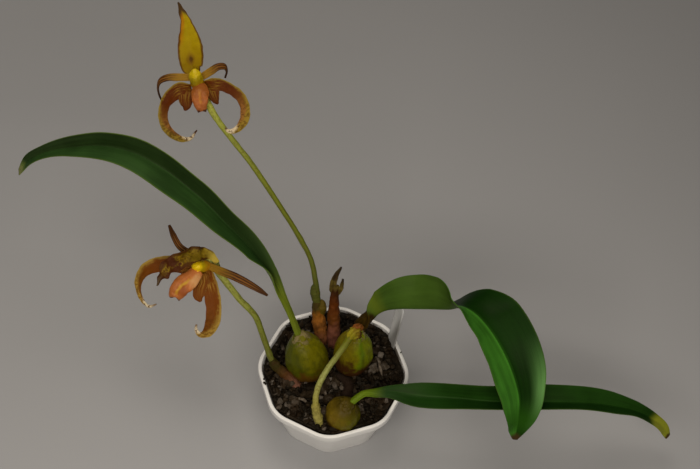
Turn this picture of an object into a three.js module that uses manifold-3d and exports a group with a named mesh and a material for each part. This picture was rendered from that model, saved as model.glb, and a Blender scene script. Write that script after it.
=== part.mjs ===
// Potted Bulbophyllum lobbii: an orchid with three pseudobulbs, three leaves and two flowers.
// Millimetres, +Z up. The origin is the centre of the pot's underside and -Y is the front.
import * as THREE from 'three';
import Module from 'manifold-3d';
import { mergeVertices } from 'three/addons/utils/BufferGeometryUtils.js';

const wasm = await Module();
wasm.setup();

const vec = (x, y, z) => new THREE.Vector3(x, y, z);
const UP = vec(0, 0, 1);
const rad = THREE.MathUtils.degToRad;

// Clearance between neighbouring pieces, and the seed for the scatter of the bark.
const GAP = 0.35;
const SEED = 7;

// Pot: a regular octagon with rounded corners, one corner turned to the front.
const POT = {
  acrossFlats: 90,
  baseAcrossFlats: 67,
  height: 44,
  rounding: 0.46,
  turn: -1.5,
  wall: 1.4,
  floor: 1.6,
  lip: { width: 2.3, height: 5, round: 0.7 },
  drain: { radius: 3.5, circle: 22, count: 4 },
};

// Potting mix: level at the wall, a low mound in the middle, coarse bark on top.
const MIX = { edgeLevel: 42, mound: 1, rough: 0.6 };
const BARK = { count: 38, smallest: 3.2, largest: 5.8, reach: 38, flatness: 0.62, lift: 0.2 };

// Plain tag of sheet plastic that stands against the wall at the right rear.
const LABEL = {
  width: 8.8,
  length: 52.3,
  thickness: 0.8,
  point: 9,
  foot: [34.1, 21.3, 34],
  turn: 24,
  lean: 5,
};

// Pseudobulbs: foot and tip of the axis, and the largest radius.
const PSEUDOBULBS = {
  left: { foot: [-13.8, 0.5, 38], tip: [-21.7, 5.6, 74], radius: 13.2 },
  right: { foot: [10.4, 5, 39], tip: [13, 11, 75], radius: 12 },
  front: { foot: [5.5, -32, 37], tip: [10.5, -29, 58], radius: 10.6 },
};
// How the radius of a pseudobulb runs from foot to tip, as shares of length and radius.
const PSEUDOBULB_PROFILE = [
  [0, 0.62], [0.1, 0.82], [0.24, 0.97], [0.4, 1], [0.56, 0.94],
  [0.7, 0.81], [0.82, 0.62], [0.91, 0.44], [0.97, 0.33], [1, 0.27],
];
const RIDGES = { count: 5, depth: 0.025 };

// A blade is given by stations along its midrib. Each one is x, y, z, the width of one half,
// the roll about the midrib and the channel, the angle by which both halves rise.
const LEAF = { blade: 1.6, steps: 22 };
const LEAVES = {
  left: {
    petiole: { end: 0.16, thickness: 3.6 },
    stations: [
      [-22.5, 6.5, 73, 2.3, 0, 10],
      [-28, 13, 85, 2.3, 0, 20],
      [-34, 18, 97, 3.4, 0, 40],
      [-41, 25, 109, 7, 0, 70],
      [-52, 32, 123, 11, 20, 58],
      [-68, 40, 138, 14, 28, 58],
      [-85, 50, 150, 15, 34, 54],
      [-103, 60, 158, 15, 38, 50],
      [-121, 67, 162, 14, 38, 50],
      [-140, 72, 161, 11.5, 38, 48],
      [-158, 74, 156, 8.5, 36, 46],
      [-176, 76, 147, 5.5, 30, 40],
      [-188, 76, 138, 4.4, 20, 30],
      [-195.5, 74, 128.5, 2.6, 0, 15],
    ],
  },
  right: {
    petiole: { end: 0.14, thickness: 6.4 },
    stations: [
      [14.5, 12.5, 65, 3.7, 0, 10],
      [18.8, 17, 72.5, 3.7, 0, 15],
      [22.6, 20, 80, 5, 50, 30],
      [29, 19.4, 87, 13, 58, 52],
      [37.6, 17, 93, 18, 59, 54],
      [49, 13.6, 99, 20, 72, 57],
      [61.2, 11.9, 102.8, 20.4, 74, 40],
      [67.5, 12.2, 103.7, 20.9, 65, 14],
      [72.7, 13.2, 104.6, 21, 47, 5],
      [81, 10.3, 103, 21, 19, 20],
      [90.4, 2.7, 98.6, 23, 8, 34],
      [99.6, -9.6, 92, 22.4, 9, 31],
      [106.4, -22, 84, 20, 14, 23],
      [109.8, -31, 76.2, 15.5, 18, 20],
      [110.4, -39, 66.2, 10, 21, 28],
      [110.2, -45.6, 55.8, 1.5, 0, 10],
    ],
  },
  front: {
    petiole: { end: 0.2, thickness: 3.6 },
    stations: [
      [12, -28.5, 56, 2.2, 0, 5],
      [19, -24.5, 60, 2.2, 0, 5],
      [26, -25, 63, 2.8, -10, 8],
      [35, -24.5, 64.5, 4.2, -12, 18],
      [52, -27, 66, 9, -15, 33],
      [76, -27, 66, 11, -16, 48],
      [100, -26.5, 64, 11.5, -8, 50],
      [125, -23, 61, 11.5, 0, 44],
      [150, -20, 57, 11, 4, 40],
      [169, -18, 52, 9.5, 0, 37],
      [186, -17, 46, 6.6, -6, 38],
      [198, -18.3, 39.8, 4.1, -10, 28],
      [206.5, -20.3, 33, 3.3, -10, 15],
      [210.5, -23.2, 27.6, 1.6, 0, 5],
    ],
  },
};

// Stems, sheaths and roots: x, y, z and radius along each one.
const STEMS = {
  peduncle_upper: [
    [-8, 20, 37, 1.9], [-11, 28, 56, 1.9], [-12.4, 35, 68.1, 1.8], [-14.4, 41, 80.3, 1.7],
    [-17.7, 49, 90.6, 1.6], [-24.2, 56, 101, 1.6], [-40.3, 68.5, 123, 1.6], [-57.6, 81.5, 143.8, 1.7],
    [-67, 88, 152.7, 1.7], [-77.1, 95.5, 162.8, 1.9], [-81.5, 100, 167.5, 2.1], [-87, 109, 170.5, 2.5],
    [-88.6, 112, 171.2, 2.6],
  ],
  peduncle_lower: [
    [-19.5, -13, 38.5, 1.9], [-24.6, -9.1, 43.2, 1.9], [-30.5, -4.5, 44.6, 1.9], [-35, -2, 46.6, 1.9],
    [-38.5, 1, 50, 1.9], [-41.6, 5.5, 56.7, 1.9], [-45.3, 11, 65.6, 1.9], [-49, 16, 73.9, 1.9],
    [-53.8, 19.5, 78.3, 1.9], [-58.9, 22.5, 82, 2], [-63.8, 25.5, 87.9, 2], [-68.8, 29, 93, 2.1],
    [-72.8, 32, 98, 2.3], [-75.5, 35.5, 104, 2.5], [-78, 35.5, 107.5, 2.8], [-79.5, 33, 108, 2.8],
  ],
  peduncle_old: [
    [-6, -38, 37, 1.9], [-8.7, -31.8, 50, 1.9], [-9.3, -26.5, 57, 1.8], [-8, -21.5, 62, 1.8],
    [-3.2, -13, 68, 1.8], [2, -6.5, 73, 1.8], [6.7, -1, 78, 1.9], [9.5, 3.5, 81, 2.2],
  ],
};
const SHEATHS = {
  sheath_upper: [
    [-8, 20, 36, 4.4], [-9.5, 24, 48, 4.4], [-11, 28, 56, 4.2], [-12, 32, 63, 3.6],
    [-12.4, 34.6, 67.5, 2.9],
  ],
  sheath_lower: [
    [-21, -12, 40, 3], [-25.5, -8.4, 43.6, 3.2], [-30.5, -4.5, 44.8, 3.3], [-35, -1.9, 46.8, 3.1],
    [-38.3, 0.8, 49.8, 2.7],
  ],
  sheath_old: [
    [-6, -38.5, 36, 2.8], [-6.8, -35.5, 44, 2.9], [-8.4, -32.3, 49, 2.8], [-9.1, -29.5, 53, 2.5],
  ],
};
const BRACTS = {
  bract_left: [
    [-12.6, 34, 66.6, 2.2], [-13.9, 36.5, 70.8, 3], [-14.7, 38.5, 74.6, 2.7], [-14.9, 40.5, 78.6, 0.8],
  ],
  bract_right: [
    [-10.3, 30.2, 59.7, 2.4], [-9.6, 31.7, 63.7, 3.1], [-9.4, 33.2, 67.2, 2.4], [-10.1, 34.7, 69.7, 0.6],
  ],
};
const RHIZOME = [
  [-14, -6, 40, 3], [-4, -4, 40, 3], [6, -5, 42, 3.4], [10, -10, 43.5, 3.2],
  [9, -17, 44, 3.2], [7, -25, 42, 3],
];
const ROOTS = {
  root_1: [[26, 12, 42, 0.8], [28, 8, 44.8, 0.9], [29, 3, 45, 0.9], [30.5, -1, 42, 0.7]],
  root_2: [[-6, -13, 42, 0.7], [-4.5, -16, 45, 0.8], [-3.5, -19, 44.8, 0.8], [-4, -22, 42, 0.6]],
  root_3: [[-24, -20, 42, 0.7], [-21, -22, 44.8, 0.8], [-17, -22.5, 44.7, 0.8], [-14, -24, 42, 0.6]],
};
const SHOOT = {
  body: [
    [-1, 18.5, 37, 4], [-1.4, 25, 56, 3.9], [-2, 29, 66, 3.4], [-2, 35, 78, 2.4], [-1.5, 37, 83, 1.6],
  ],
  prongs: [
    [
      [-2, 34.5, 76, 1.6, 0, 30], [-3.4, 37, 83, 2.8, 0, 40], [-2.6, 39.5, 89, 2.4, 0, 40],
      [1, 42.4, 95, 0.5, 0, 20],
    ],
    [[-1, 34.5, 76, 1.2, 0, 30], [1.4, 36.5, 81, 1.8, 0, 40], [2.4, 39, 87, 0.5, 0, 20]],
  ],
  thickness: 2,
};

// Withered flower at the end of the old stalk: a bell, its shrivelled crest and one flap, each
// as x, y, z and radius.
const WITHERED = [
  [[8.6, 2.4, 79.9, 2.6], [10.2, 3.8, 81.4, 3.3], [12, 5.2, 82, 3.6], [14.4, 6.8, 81, 1.6]],
  [[10.2, 6.4, 83.4, 1.2], [12.5, 7.4, 83.8, 2.1], [15, 8, 82.8, 1.9], [16.6, 8.2, 81.6, 0.9]],
  [[12, 5, 81, 2.4], [14, 4.6, 79.8, 2.4], [15.4, 4.4, 78.6, 1]],
];

// Flowers: each has its own frame, x to its right, y to its top and z out of its face.
const FACE = [36, 0, 3.6];
const ORGAN = { sepal: 1, petal: 0.9, lip: 3.2, lobe: 1.2, steps: 11 };
const FLOWERS = {
  upper: {
    centre: [-90.4, 112.4, 177.4],
    column: [[0.5, -4, -3.5, 3], [0.2, -1.5, 0, 4], [-0.5, 2, 3, 3.8], [-1, 5, 4.4, 2.2], [-1.2, 6, 4.8, 1]],
    dorsal: [
      [-1.6, 3, -2.5, 2.4, 0, 20], [-3, 9, -3, 6, 0, 25], [-3.6, 14, -3, 8, 0, 22],
      [-4.1, 20.7, -2.5, 7.6, 0, 20], [-5, 27, -1, 6, 0, 20], [-6.4, 34, 1, 3.6, 0, 20],
      [-8.6, 40, 2, 1.9, 0, 15], [-10.9, 45.6, 2, 0.5, 0, 5],
    ],
    petals: {
      left: {
        tops: [[0, 0, 1], [-1, 0, 0]],
        stations: [
          [-4, 2, -1.5, 2.2, 0, 10], [-11, 1.9, 0, 2.3, 0, 10], [-17, 1.7, 0, 2.1, 0, 8],
          [-22, 0, -2.5, 1.8, 0, 5], [-23.9, -3.5, -6, 1.7, 0, 5], [-23.4, -8, -9, 1.3, 0, 5],
          [-21.5, -12, -11, 0.5, 0, 0],
        ],
      },
      right: {
        tops: [[0, 0, 1], [1, 0, 0]],
        stations: [
          [3, 2.4, -1.5, 2.2, 0, 10], [8, 5.3, 0, 2.3, 0, 10], [12.5, 8, 0.5, 2.1, 0, 8],
          [16, 8.3, -1.5, 1.8, 0, 5], [17, 6, -4.5, 1.5, 0, 5], [15.8, 2.5, -7, 0.5, 0, 0],
        ],
      },
    },
    laterals: {
      left: {
        stations: [
          [-3.5, -5, -2, 3, 0, 10], [-9.5, -6, 0, 5.2, 0, 15], [-14.8, -8.9, 0, 4.2, 0, 18],
          [-18.9, -14.2, -1, 3.3, 0, 20], [-20.4, -20.7, -3, 2.9, 0, 20], [-18.9, -27, -5, 2.8, 0, 20],
          [-14.8, -31.6, -7, 2.5, 0, 20], [-9, -34, -8, 1.7, 0, 15], [-4.6, -33.2, -8, 1, 0, 10],
          [-1, -28.6, -7, 0.4, 0, 0],
        ],
        lobe: [[-6.2, -7, -0.5, 3, 0, 10], [-6.4, -12, 0.6, 3.2, 0, 20], [-6, -16.8, 0.3, 1.8, 0, 10]],
      },
      right: {
        stations: [
          [3.8, -3, -2, 3, 0, 10], [9.5, -2.7, 0, 4.2, 0, 15], [14.8, -3, 0, 3.7, 0, 18],
          [20.1, -5.3, -0.5, 3.3, 0, 20], [24.9, -8.9, -1, 3.2, 0, 20], [27.8, -14.2, -1, 3, 0, 20],
          [28.4, -20.7, 0, 3, 0, 20], [26.6, -26, 2, 2.6, 0, 20], [23.1, -29.6, 4, 1.8, 0, 15],
          [19, -30.3, 5.5, 1.1, 0, 10], [17.2, -28.4, 6, 0.4, 0, 0],
        ],
        lobe: [[8.2, -5, -0.5, 3, 0, 10], [9.8, -9.5, 0.6, 2.9, 0, 20], [11.4, -13.4, 0.3, 1.5, 0, 10]],
      },
    },
    lip: [
      [1.4, -3.4, 1.5, 2.5, 0, 0], [1.9, -8, 6, 4.6, 0, 5], [2.2, -11, 6.8, 5.4, 0, 10],
      [2.8, -15, 6.2, 4.6, 0, 5], [3.6, -19, 4, 2.6, 0, 0],
    ],
  },
  lower: {
    centre: [-82.2, 25.8, 109],
    column: [
      [4, 1.5, -3.5, 3], [1.5, 1.5, -0.5, 3.6], [-1, 1.4, 2.5, 3.5], [-3, 0.8, 4.4, 2.2],
      [-3.6, 0.5, 4.8, 1],
    ],
    dorsal: [
      [6, 6.5, -4.5, 2.4, 0, 15], [3.5, 8.6, 0, 3.4, 0, 20], [-1, 8.6, 5, 4.6, 0, 25],
      [-7, 6.5, 9, 5.6, 0, 28], [-13, 3.2, 11, 5.9, 0, 28], [-18, -0.6, 11, 4.7, 0, 25],
      [-21.5, -5, 9.5, 2.9, 0, 20], [-24.2, -9.3, 8, 0.6, 0, 5],
    ],
    petals: {
      left: {
        tops: [[0, 0, 1], [0, 0, 1]],
        stations: [
          [0, 4.5, -2.5, 2, 0, 10], [-6, 8.5, -2, 2.2, 0, 10], [-12.3, 13, -2, 2, 0, 10],
          [-16.2, 19.6, -3, 1.8, 0, 10], [-19, 25.6, -5, 0.8, 0, 5],
        ],
      },
      right: {
        tops: [[0, 0, 1], [0, 0, 1]],
        stations: [
          [5, 1.5, -1.5, 2, 0, 10], [12, -1.4, 1, 2.5, 0, 12], [20.8, -4.8, 2.5, 2.5, 0, 12],
          [29.8, -9.5, 2, 2.2, 0, 10], [36, -13.3, 1, 1.6, 0, 8], [39.9, -16, 0, 0.7, 0, 0],
        ],
      },
    },
    laterals: {
      left: {
        stations: [
          [-3, -1, -3.5, 3, 0, 10], [-9, 1, -3, 4.6, 0, 15], [-15, 2.4, -3, 5, 0, 15],
          [-23.8, 2.4, -3, 4.8, 0, 18], [-31, 0.4, -4, 4.2, 0, 20], [-35.7, -3.8, -6, 3.2, 0, 20],
          [-38, -9.5, -8, 2.2, 0, 18], [-37.5, -15.5, -9, 1.3, 0, 10], [-34.8, -20.6, -9, 1, 0, 10],
          [-31, -23, -8, 0.9, 0, 5], [-27, -21.6, -7, 0.4, 0, 0],
        ],
        lobe: [[-7, -1, -2.5, 2, 0, 10], [-9.5, -4, -1.5, 2, 0, 15], [-11, -7, -1, 1, 0, 10]],
      },
      right: {
        stations: [
          [3.4, -1.2, -3, 3.2, 0, 10], [6, -9.5, 0, 4.6, 0, 15], [7.7, -17.5, 1, 4.9, 0, 18],
          [8.3, -25, 1, 4.9, 0, 20], [7.3, -32, 0, 4.6, 0, 20], [4.4, -37.6, -1.5, 3.4, 0, 18],
          [0, -39.4, -3, 1.6, 0, 10], [-2.6, -37, -4, 1, 0, 5], [-2.8, -33.5, -4, 0.5, 0, 0],
        ],
        lobe: [[2, -7, -0.5, 2.8, 0, 10], [-0.3, -13, 0.8, 3.6, 0, 20], [-0.8, -19, 0.4, 2, 0, 10]],
      },
    },
    lip: [
      [-2.6, -3.6, 2.5, 2.4, 0, 0], [-6.5, -6.8, 5, 4.6, 0, 5], [-10.6, -10.4, 6, 5.6, 0, 10],
      [-13.5, -15, 5, 4.8, 0, 5], [-14.8, -18.4, 3, 2.8, 0, 0],
    ],
  },
};

// Colours and finish of each kind of surface.
const finish = (color, roughness) => new THREE.MeshStandardMaterial({ color, roughness, metalness: 0 });
const FINISH = {
  pot: () => finish(0xe9e7e2, 0.45),
  mix: () => finish(0x2a211b, 0.95),
  label: () => finish(0xdcdcd8, 0.4),
  leaf: () => finish(0x2c5a1c, 0.35),
  pseudobulb: () => finish(0x8a8f2c, 0.45),
  stem: () => finish(0x9aa53c, 0.5),
  sheath: () => finish(0x9a5a34, 0.75),
  bract: () => finish(0x6f6a2c, 0.65),
  rhizome: () => finish(0x4e3222, 0.8),
  root: () => finish(0xb7ab98, 0.8),
  sepal: () => finish(0xa86a16, 0.5),
  petal: () => finish(0x93591a, 0.5),
  column: () => finish(0xe2bd1c, 0.45),
  lip: () => finish(0xd0703c, 0.5),
};

// Repeatable random numbers between 0 and 1.
function randomFrom(seed) {
  let state = seed;
  return () => {
    state = (state + 0x6d2b79f5) | 0;
    let mixed = Math.imul(state ^ (state >>> 15), 1 | state);
    mixed = (mixed + Math.imul(mixed ^ (mixed >>> 7), 61 | mixed)) ^ mixed;
    return ((mixed ^ (mixed >>> 14)) >>> 0) / 2 ** 32;
  };
}

// Solids

function geometryFrom(points, triangles) {
  const geometry = new THREE.BufferGeometry();
  const positions = points.flatMap((p) => p.toArray());
  geometry.setAttribute('position', new THREE.Float32BufferAttribute(positions, 3));
  geometry.setIndex(triangles);
  return geometry;
}

function welded(source) {
  const geometry = source.clone();
  geometry.deleteAttribute('normal');
  geometry.deleteAttribute('uv');
  return mergeVertices(geometry, 1e-4);
}

function solidOf(geometry) {
  const body = welded(geometry);
  const vertProperties = new Float32Array(body.attributes.position.array);
  const triVerts = new Uint32Array(body.index.array);
  const solid = new wasm.Manifold(new wasm.Mesh({ numProp: 3, vertProperties, triVerts }));
  if (solid.volume() > 0) return solid;
  return new wasm.Manifold(new wasm.Mesh({ numProp: 3, vertProperties, triVerts: triVerts.reverse() }));
}

function geometryOf(solid) {
  const mesh = solid.getMesh();
  const geometry = new THREE.BufferGeometry();
  geometry.setAttribute('position', new THREE.Float32BufferAttribute(mesh.vertProperties, 3));
  geometry.setIndex([...mesh.triVerts]);
  return geometry;
}

// The largest piece alone: scraps that a cut leaves loose are dropped, sealed hollows are filled.
function largest(solid) {
  return solid.decompose().reduce((best, piece) => (piece.volume() > best.volume() ? piece : best));
}

// The same body with every point moved out along its normal by the clearance.
function swollen(geometry) {
  const body = welded(geometryOf(solidOf(geometry)));
  body.computeVertexNormals();
  const { position, normal } = body.attributes;
  for (let i = 0; i < position.count; i += 1) {
    const point = new THREE.Vector3().fromBufferAttribute(position, i);
    const outward = new THREE.Vector3().fromBufferAttribute(normal, i);
    position.setXYZ(i, ...point.addScaledVector(outward, GAP).toArray());
  }
  return body;
}

function fused(geometries) {
  const solids = geometries.map(solidOf);
  return geometryOf(largest(solids.reduce((whole, next) => whole.add(next))));
}

// A geometry with room cut into it for its neighbours.
function fitted(geometry, neighbours) {
  const room = neighbours.map((neighbour) => solidOf(swollen(neighbour)));
  return geometryOf(largest(room.reduce((whole, next) => whole.subtract(next), solidOf(geometry))));
}

// Lofts

// Triangles that close a ring of the given size round a middle point, numbered after the ring.
function fanCap(size) {
  return Array.from({ length: size }, (_, k) => [(k + 1) % size, k, size]);
}

// Triangles that close a lens-shaped ring, whose first half is the top and second the underside.
function stripCap(size) {
  const last = size / 2;
  const under = (s) => (size - s) % size;
  const below = (s) => (s === last ? last : under(s));
  const faces = [];
  for (let s = 0; s < last; s += 1) {
    if (s > 0) faces.push([s + 1, s, below(s)]);
    if (s < last - 1) faces.push([s + 1, below(s), below(s + 1)]);
  }
  return faces;
}

// A closed body through rings of points. `mirrored` picks the quads split the other way.
function loft(rings, cap = fanCap, mirrored = () => false) {
  const size = rings[0].length;
  const points = rings.flat();
  const triangles = [];
  for (let i = 0; i < rings.length - 1; i += 1) {
    for (let k = 0; k < size; k += 1) {
      const a = i * size + k;
      const b = i * size + ((k + 1) % size);
      const c = b + size;
      const d = a + size;
      if (mirrored(k)) triangles.push(a, b, d, b, c, d);
      else triangles.push(a, b, c, a, c, d);
    }
  }
  const close = (ring, start, order) => {
    const middle = points.length;
    if (cap === fanCap) {
      const sum = ring.reduce((total, p) => total.add(p), vec(0, 0, 0));
      points.push(sum.divideScalar(size));
    }
    for (const face of cap(size)) {
      triangles.push(...order(face.map((k) => (k === size ? middle : start + k))));
    }
  };
  close(rings[0], 0, (face) => face);
  close(rings.at(-1), (rings.length - 1) * size, (face) => face.reverse());
  return geometryFrom(points, triangles);
}

// Smooth curve through the first three values of each row, and through the next three if any.
function curvesOf(rows) {
  const pick = (from) => rows.map((row) => vec(row[from], row[from + 1] ?? 0, row[from + 2] ?? 0));
  return [new THREE.CatmullRomCurve3(pick(0)), new THREE.CatmullRomCurve3(pick(3))];
}

// A round stem along rows of x, y, z and radius.
function stem(rows, sides = 8) {
  const [path, girth] = curvesOf(rows);
  const stepsPerRow = 2;
  const steps = (rows.length - 1) * stepsPerRow;
  const side = vec(1, 0, 0);
  const rings = [];
  for (let i = 0; i <= steps; i += 1) {
    const t = i / steps;
    const ahead = path.getTangent(t);
    side.addScaledVector(ahead, -side.dot(ahead)).normalize();
    const across = ahead.clone().cross(side);
    const centre = path.getPoint(t);
    const radius = girth.getPoint(t).x;
    rings.push(Array.from({ length: sides }, (_, k) => {
      const angle = (2 * Math.PI * k) / sides;
      return centre.clone()
        .addScaledVector(side, radius * Math.cos(angle))
        .addScaledVector(across, radius * Math.sin(angle));
    }));
  }
  return loft(rings);
}

// A blade with a midrib and two halves. Rows hold x, y, z, half width, roll and channel.
// `top` gives the direction its upper face looks in, `thickness` how thick the midrib is.
function blade(rows, { top = () => UP, thickness, steps, across = 3 }) {
  const [path, form] = curvesOf(rows);
  const rings = [];
  for (let i = 0; i <= steps; i += 1) {
    const t = i / steps;
    const ahead = path.getTangent(t);
    const side = top(t).clone().cross(ahead).normalize();
    const face = ahead.clone().cross(side);
    const { x: half, y: roll, z: channel } = form.getPoint(t);
    const middle = path.getPoint(t);
    const upper = [];
    const lower = [];
    for (const sign of [-1, 1]) {
      const rise = rad(channel - sign * roll);
      const level = sign * Math.cos(rise);
      const lift = Math.sin(rise);
      const out = side.clone().multiplyScalar(level).addScaledVector(face, lift);
      const normal = face.clone().multiplyScalar(Math.cos(rise)).addScaledVector(side, -sign * lift);
      for (let k = 1; k <= across; k += 1) {
        const share = k / across;
        const depth = (thickness(t) / 2) * (1 - share * share);
        const point = middle.clone().addScaledVector(out, half * share);
        upper[across + sign * k] = point.clone().addScaledVector(normal, depth);
        lower[across + sign * k] = point.clone().addScaledVector(normal, -depth);
      }
    }
    const tilt = rad(-roll);
    const ridge = face.clone().multiplyScalar(Math.cos(tilt)).addScaledVector(side, -Math.sin(tilt));
    upper[across] = middle.clone().addScaledVector(ridge, thickness(t) / 2);
    lower[across] = middle.clone().addScaledVector(ridge, -thickness(t) / 2);
    rings.push([...upper, ...lower.slice(1, -1).reverse()]);
  }
  return loft(rings, stripCap, (k) => k >= 2 * across);
}

// Pieces

// The pot's outline at one level, as a ring of points.
function octagon(inradius, z) {
  const arcs = [-22.5, -7.5, 7.5, 22.5];
  const round = inradius * POT.rounding;
  const reach = (inradius - round) / Math.cos(rad(22.5));
  const ring = [];
  for (let corner = 0; corner < 8; corner += 1) {
    const towards = rad(POT.turn - 90 + 45 * corner);
    for (const arc of arcs) {
      const along = towards + rad(arc);
      const x = reach * Math.cos(towards) + round * Math.cos(along);
      const y = reach * Math.sin(towards) + round * Math.sin(along);
      ring.push(vec(x, y, z));
    }
  }
  return ring;
}

// Distance from the axis to the outside of the pot's wall at a height.
function wallAt(z) {
  return THREE.MathUtils.lerp(POT.baseAcrossFlats / 2, POT.acrossFlats / 2 - 1, z / POT.height);
}

function pot() {
  const { height, wall, floor, lip } = POT;
  const rim = POT.acrossFlats / 2;
  const under = height - lip.height;
  const shell = loft([
    octagon(wallAt(0) - 1, 0),
    octagon(wallAt(0), 1),
    octagon(wallAt(under), under),
    octagon(rim - lip.round, under),
    octagon(rim, height - lip.round),
    octagon(rim - lip.round, height),
    octagon(rim - lip.width + lip.round / 2, height),
    octagon(rim - lip.width, height - lip.round),
    octagon(wallAt(under) - wall, under - lip.round),
    octagon(wallAt(floor) - wall, floor),
  ]);
  const { radius, circle, count } = POT.drain;
  const holes = Array.from({ length: count }, (_, k) => {
    const angle = (2 * Math.PI * (k + 0.5)) / count;
    const hole = new THREE.CylinderGeometry(radius, radius, floor * 4, 16);
    hole.rotateX(Math.PI / 2);
    hole.translate(circle * Math.cos(angle), circle * Math.sin(angle), 0);
    return solidOf(hole);
  });
  return geometryOf(holes.reduce((body, hole) => body.subtract(hole), solidOf(shell)));
}

// Pieces of bark laid in a spiral over the top of the mix.
function barkPieces(random) {
  const golden = Math.PI * (3 - Math.sqrt(5));
  return Array.from({ length: BARK.count }, (_, k) => {
    const radius = THREE.MathUtils.lerp(BARK.smallest, BARK.largest, random());
    const distance = (BARK.reach - radius) * Math.sqrt((k + 0.5) / BARK.count);
    const angle = k * golden + 0.3 * random();
    const piece = new THREE.IcosahedronGeometry(radius, 0);
    piece.scale(1, 0.6 + 0.3 * random(), BARK.flatness);
    piece.rotateX(rad(40 * (random() - 0.5)));
    piece.rotateY(rad(40 * (random() - 0.5)));
    piece.rotateZ(2 * Math.PI * random());
    const level = MIX.edgeLevel + MIX.mound * (1 - (distance / BARK.reach) ** 2) + BARK.lift * radius;
    piece.translate(distance * Math.cos(angle), distance * Math.sin(angle), level);
    return piece;
  });
}

function pottingMix() {
  const random = randomFrom(SEED);
  const bottom = POT.floor + GAP;
  const inside = (z) => wallAt(z) - POT.wall - GAP;
  const top = [1, 0.86, 0.68, 0.48, 0.26].map((share) => {
    const level = MIX.edgeLevel + MIX.mound * (1 - share * share);
    const ring = octagon(inside(MIX.edgeLevel - 1) * share, level);
    return ring.map((p) => p.setZ(p.z + MIX.rough * (random() - 0.5)));
  });
  const under = MIX.edgeLevel - 1;
  const body = loft([octagon(inside(bottom), bottom), octagon(inside(under), under), ...top]);
  return fused([body, ...barkPieces(random)]);
}

function plantLabel() {
  const { width, length, thickness, point, foot, turn, lean } = LABEL;
  const corner = width / 4;
  const outline = new THREE.Shape();
  outline.moveTo(0, 0);
  outline.lineTo(width / 2, point);
  outline.lineTo(width / 2, length - corner);
  outline.absarc(width / 2 - corner, length - corner, corner, 0, Math.PI / 2);
  outline.absarc(corner - width / 2, length - corner, corner, Math.PI / 2, Math.PI);
  outline.lineTo(-width / 2, point);
  const tag = new THREE.ExtrudeGeometry(outline, {
    depth: thickness,
    bevelEnabled: false,
    curveSegments: 4,
  });
  tag.rotateX(Math.PI / 2);
  tag.rotateX(rad(lean));
  tag.rotateZ(rad(turn + 90));
  tag.translate(...foot);
  return tag;
}

// A pseudobulb: an egg-shaped stem with blunt ridges and a small neck for its leaf.
function pseudobulb({ foot, tip, radius }) {
  const sides = 15;
  const axis = vec(...tip).sub(vec(...foot));
  const ahead = axis.clone().normalize();
  const side = vec(0, 1, 0).cross(ahead).normalize();
  const across = ahead.clone().cross(side);
  return loft(PSEUDOBULB_PROFILE.map(([along, share]) => {
    const centre = vec(...foot).addScaledVector(axis, along);
    const ridged = RIDGES.depth * Math.sin(Math.PI * along);
    return Array.from({ length: sides }, (_, k) => {
      const angle = (2 * Math.PI * k) / sides;
      const reach = radius * share * (1 + ridged * Math.cos(RIDGES.count * angle));
      return centre.clone()
        .addScaledVector(side, reach * Math.cos(angle))
        .addScaledVector(across, reach * Math.sin(angle));
    });
  }));
}

function leaf({ stations, petiole }) {
  const change = 0.08;
  const thickness = (t) => THREE.MathUtils.lerp(
    petiole.thickness,
    LEAF.blade,
    THREE.MathUtils.smoothstep(t, petiole.end - change, petiole.end + change),
  );
  return blade(stations, { thickness, steps: LEAF.steps, across: 2 });
}

function newShoot() {
  const prongs = SHOOT.prongs.map((rows) => blade(rows, {
    top: () => vec(0, -1, 0),
    thickness: () => SHOOT.thickness,
    steps: 6,
    across: 2,
  }));
  return fused([stem(SHOOT.body, 10), ...prongs]);
}

function witheredFlower() {
  return fused(WITHERED.map((rows) => stem(rows)));
}

// Organs of one flower in the flower's own frame: name, shape and surface.
function flowerOrgans({ column, dorsal, petals, laterals, lip }) {
  const FRONT = vec(0, 0, 1);
  const organ = (rows, thickness, options = {}) => blade(rows, {
    top: () => FRONT,
    thickness: () => thickness,
    steps: ORGAN.steps,
    across: 2,
    ...options,
  });
  const petal = ({ stations, tops }) => {
    const [from, to] = tops.map((direction) => vec(...direction));
    return organ(stations, ORGAN.petal, { top: (t) => from.clone().lerp(to, t).normalize() });
  };
  const lateral = ({ stations, lobe }) => fused([
    organ(stations, ORGAN.sepal, { steps: ORGAN.steps + 4 }),
    organ(lobe, ORGAN.lobe, { steps: 5 }),
  ]);
  return [
    ['column', stem(column, 10), FINISH.column],
    ['dorsal_sepal', organ(dorsal, ORGAN.sepal), FINISH.sepal],
    ['lip', organ(lip, ORGAN.lip, { steps: 8, across: 3 }), FINISH.lip],
    ['petal_left', petal(petals.left), FINISH.petal],
    ['petal_right', petal(petals.right), FINISH.petal],
    ['lateral_sepal_left', lateral(laterals.left), FINISH.sepal],
    ['lateral_sepal_right', lateral(laterals.right), FINISH.sepal],
  ];
}

// Assembly

const plant = new THREE.Group();

// Adds a piece, cut clear of its neighbours, and returns its shape before the cut.
function addPiece(name, shape, material, neighbours = [], group = plant) {
  const mesh = new THREE.Mesh(neighbours.length > 0 ? fitted(shape, neighbours) : shape, material());
  mesh.name = name;
  group.add(mesh);
  return shape;
}

const organsInPlace = Object.entries(FLOWERS).flatMap(([flower, form]) => {
  const group = new THREE.Group();
  group.position.set(...form.centre);
  group.rotation.set(...FACE.map(rad));
  group.updateMatrix();
  plant.add(group);
  const organs = [];
  for (const [name, shape, material] of flowerOrgans(form)) {
    organs.push(addPiece(`${flower}_${name}`, shape, material, organs, group));
  }
  return organs.map((organ) => organ.clone().applyMatrix4(group.matrix));
});

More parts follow.
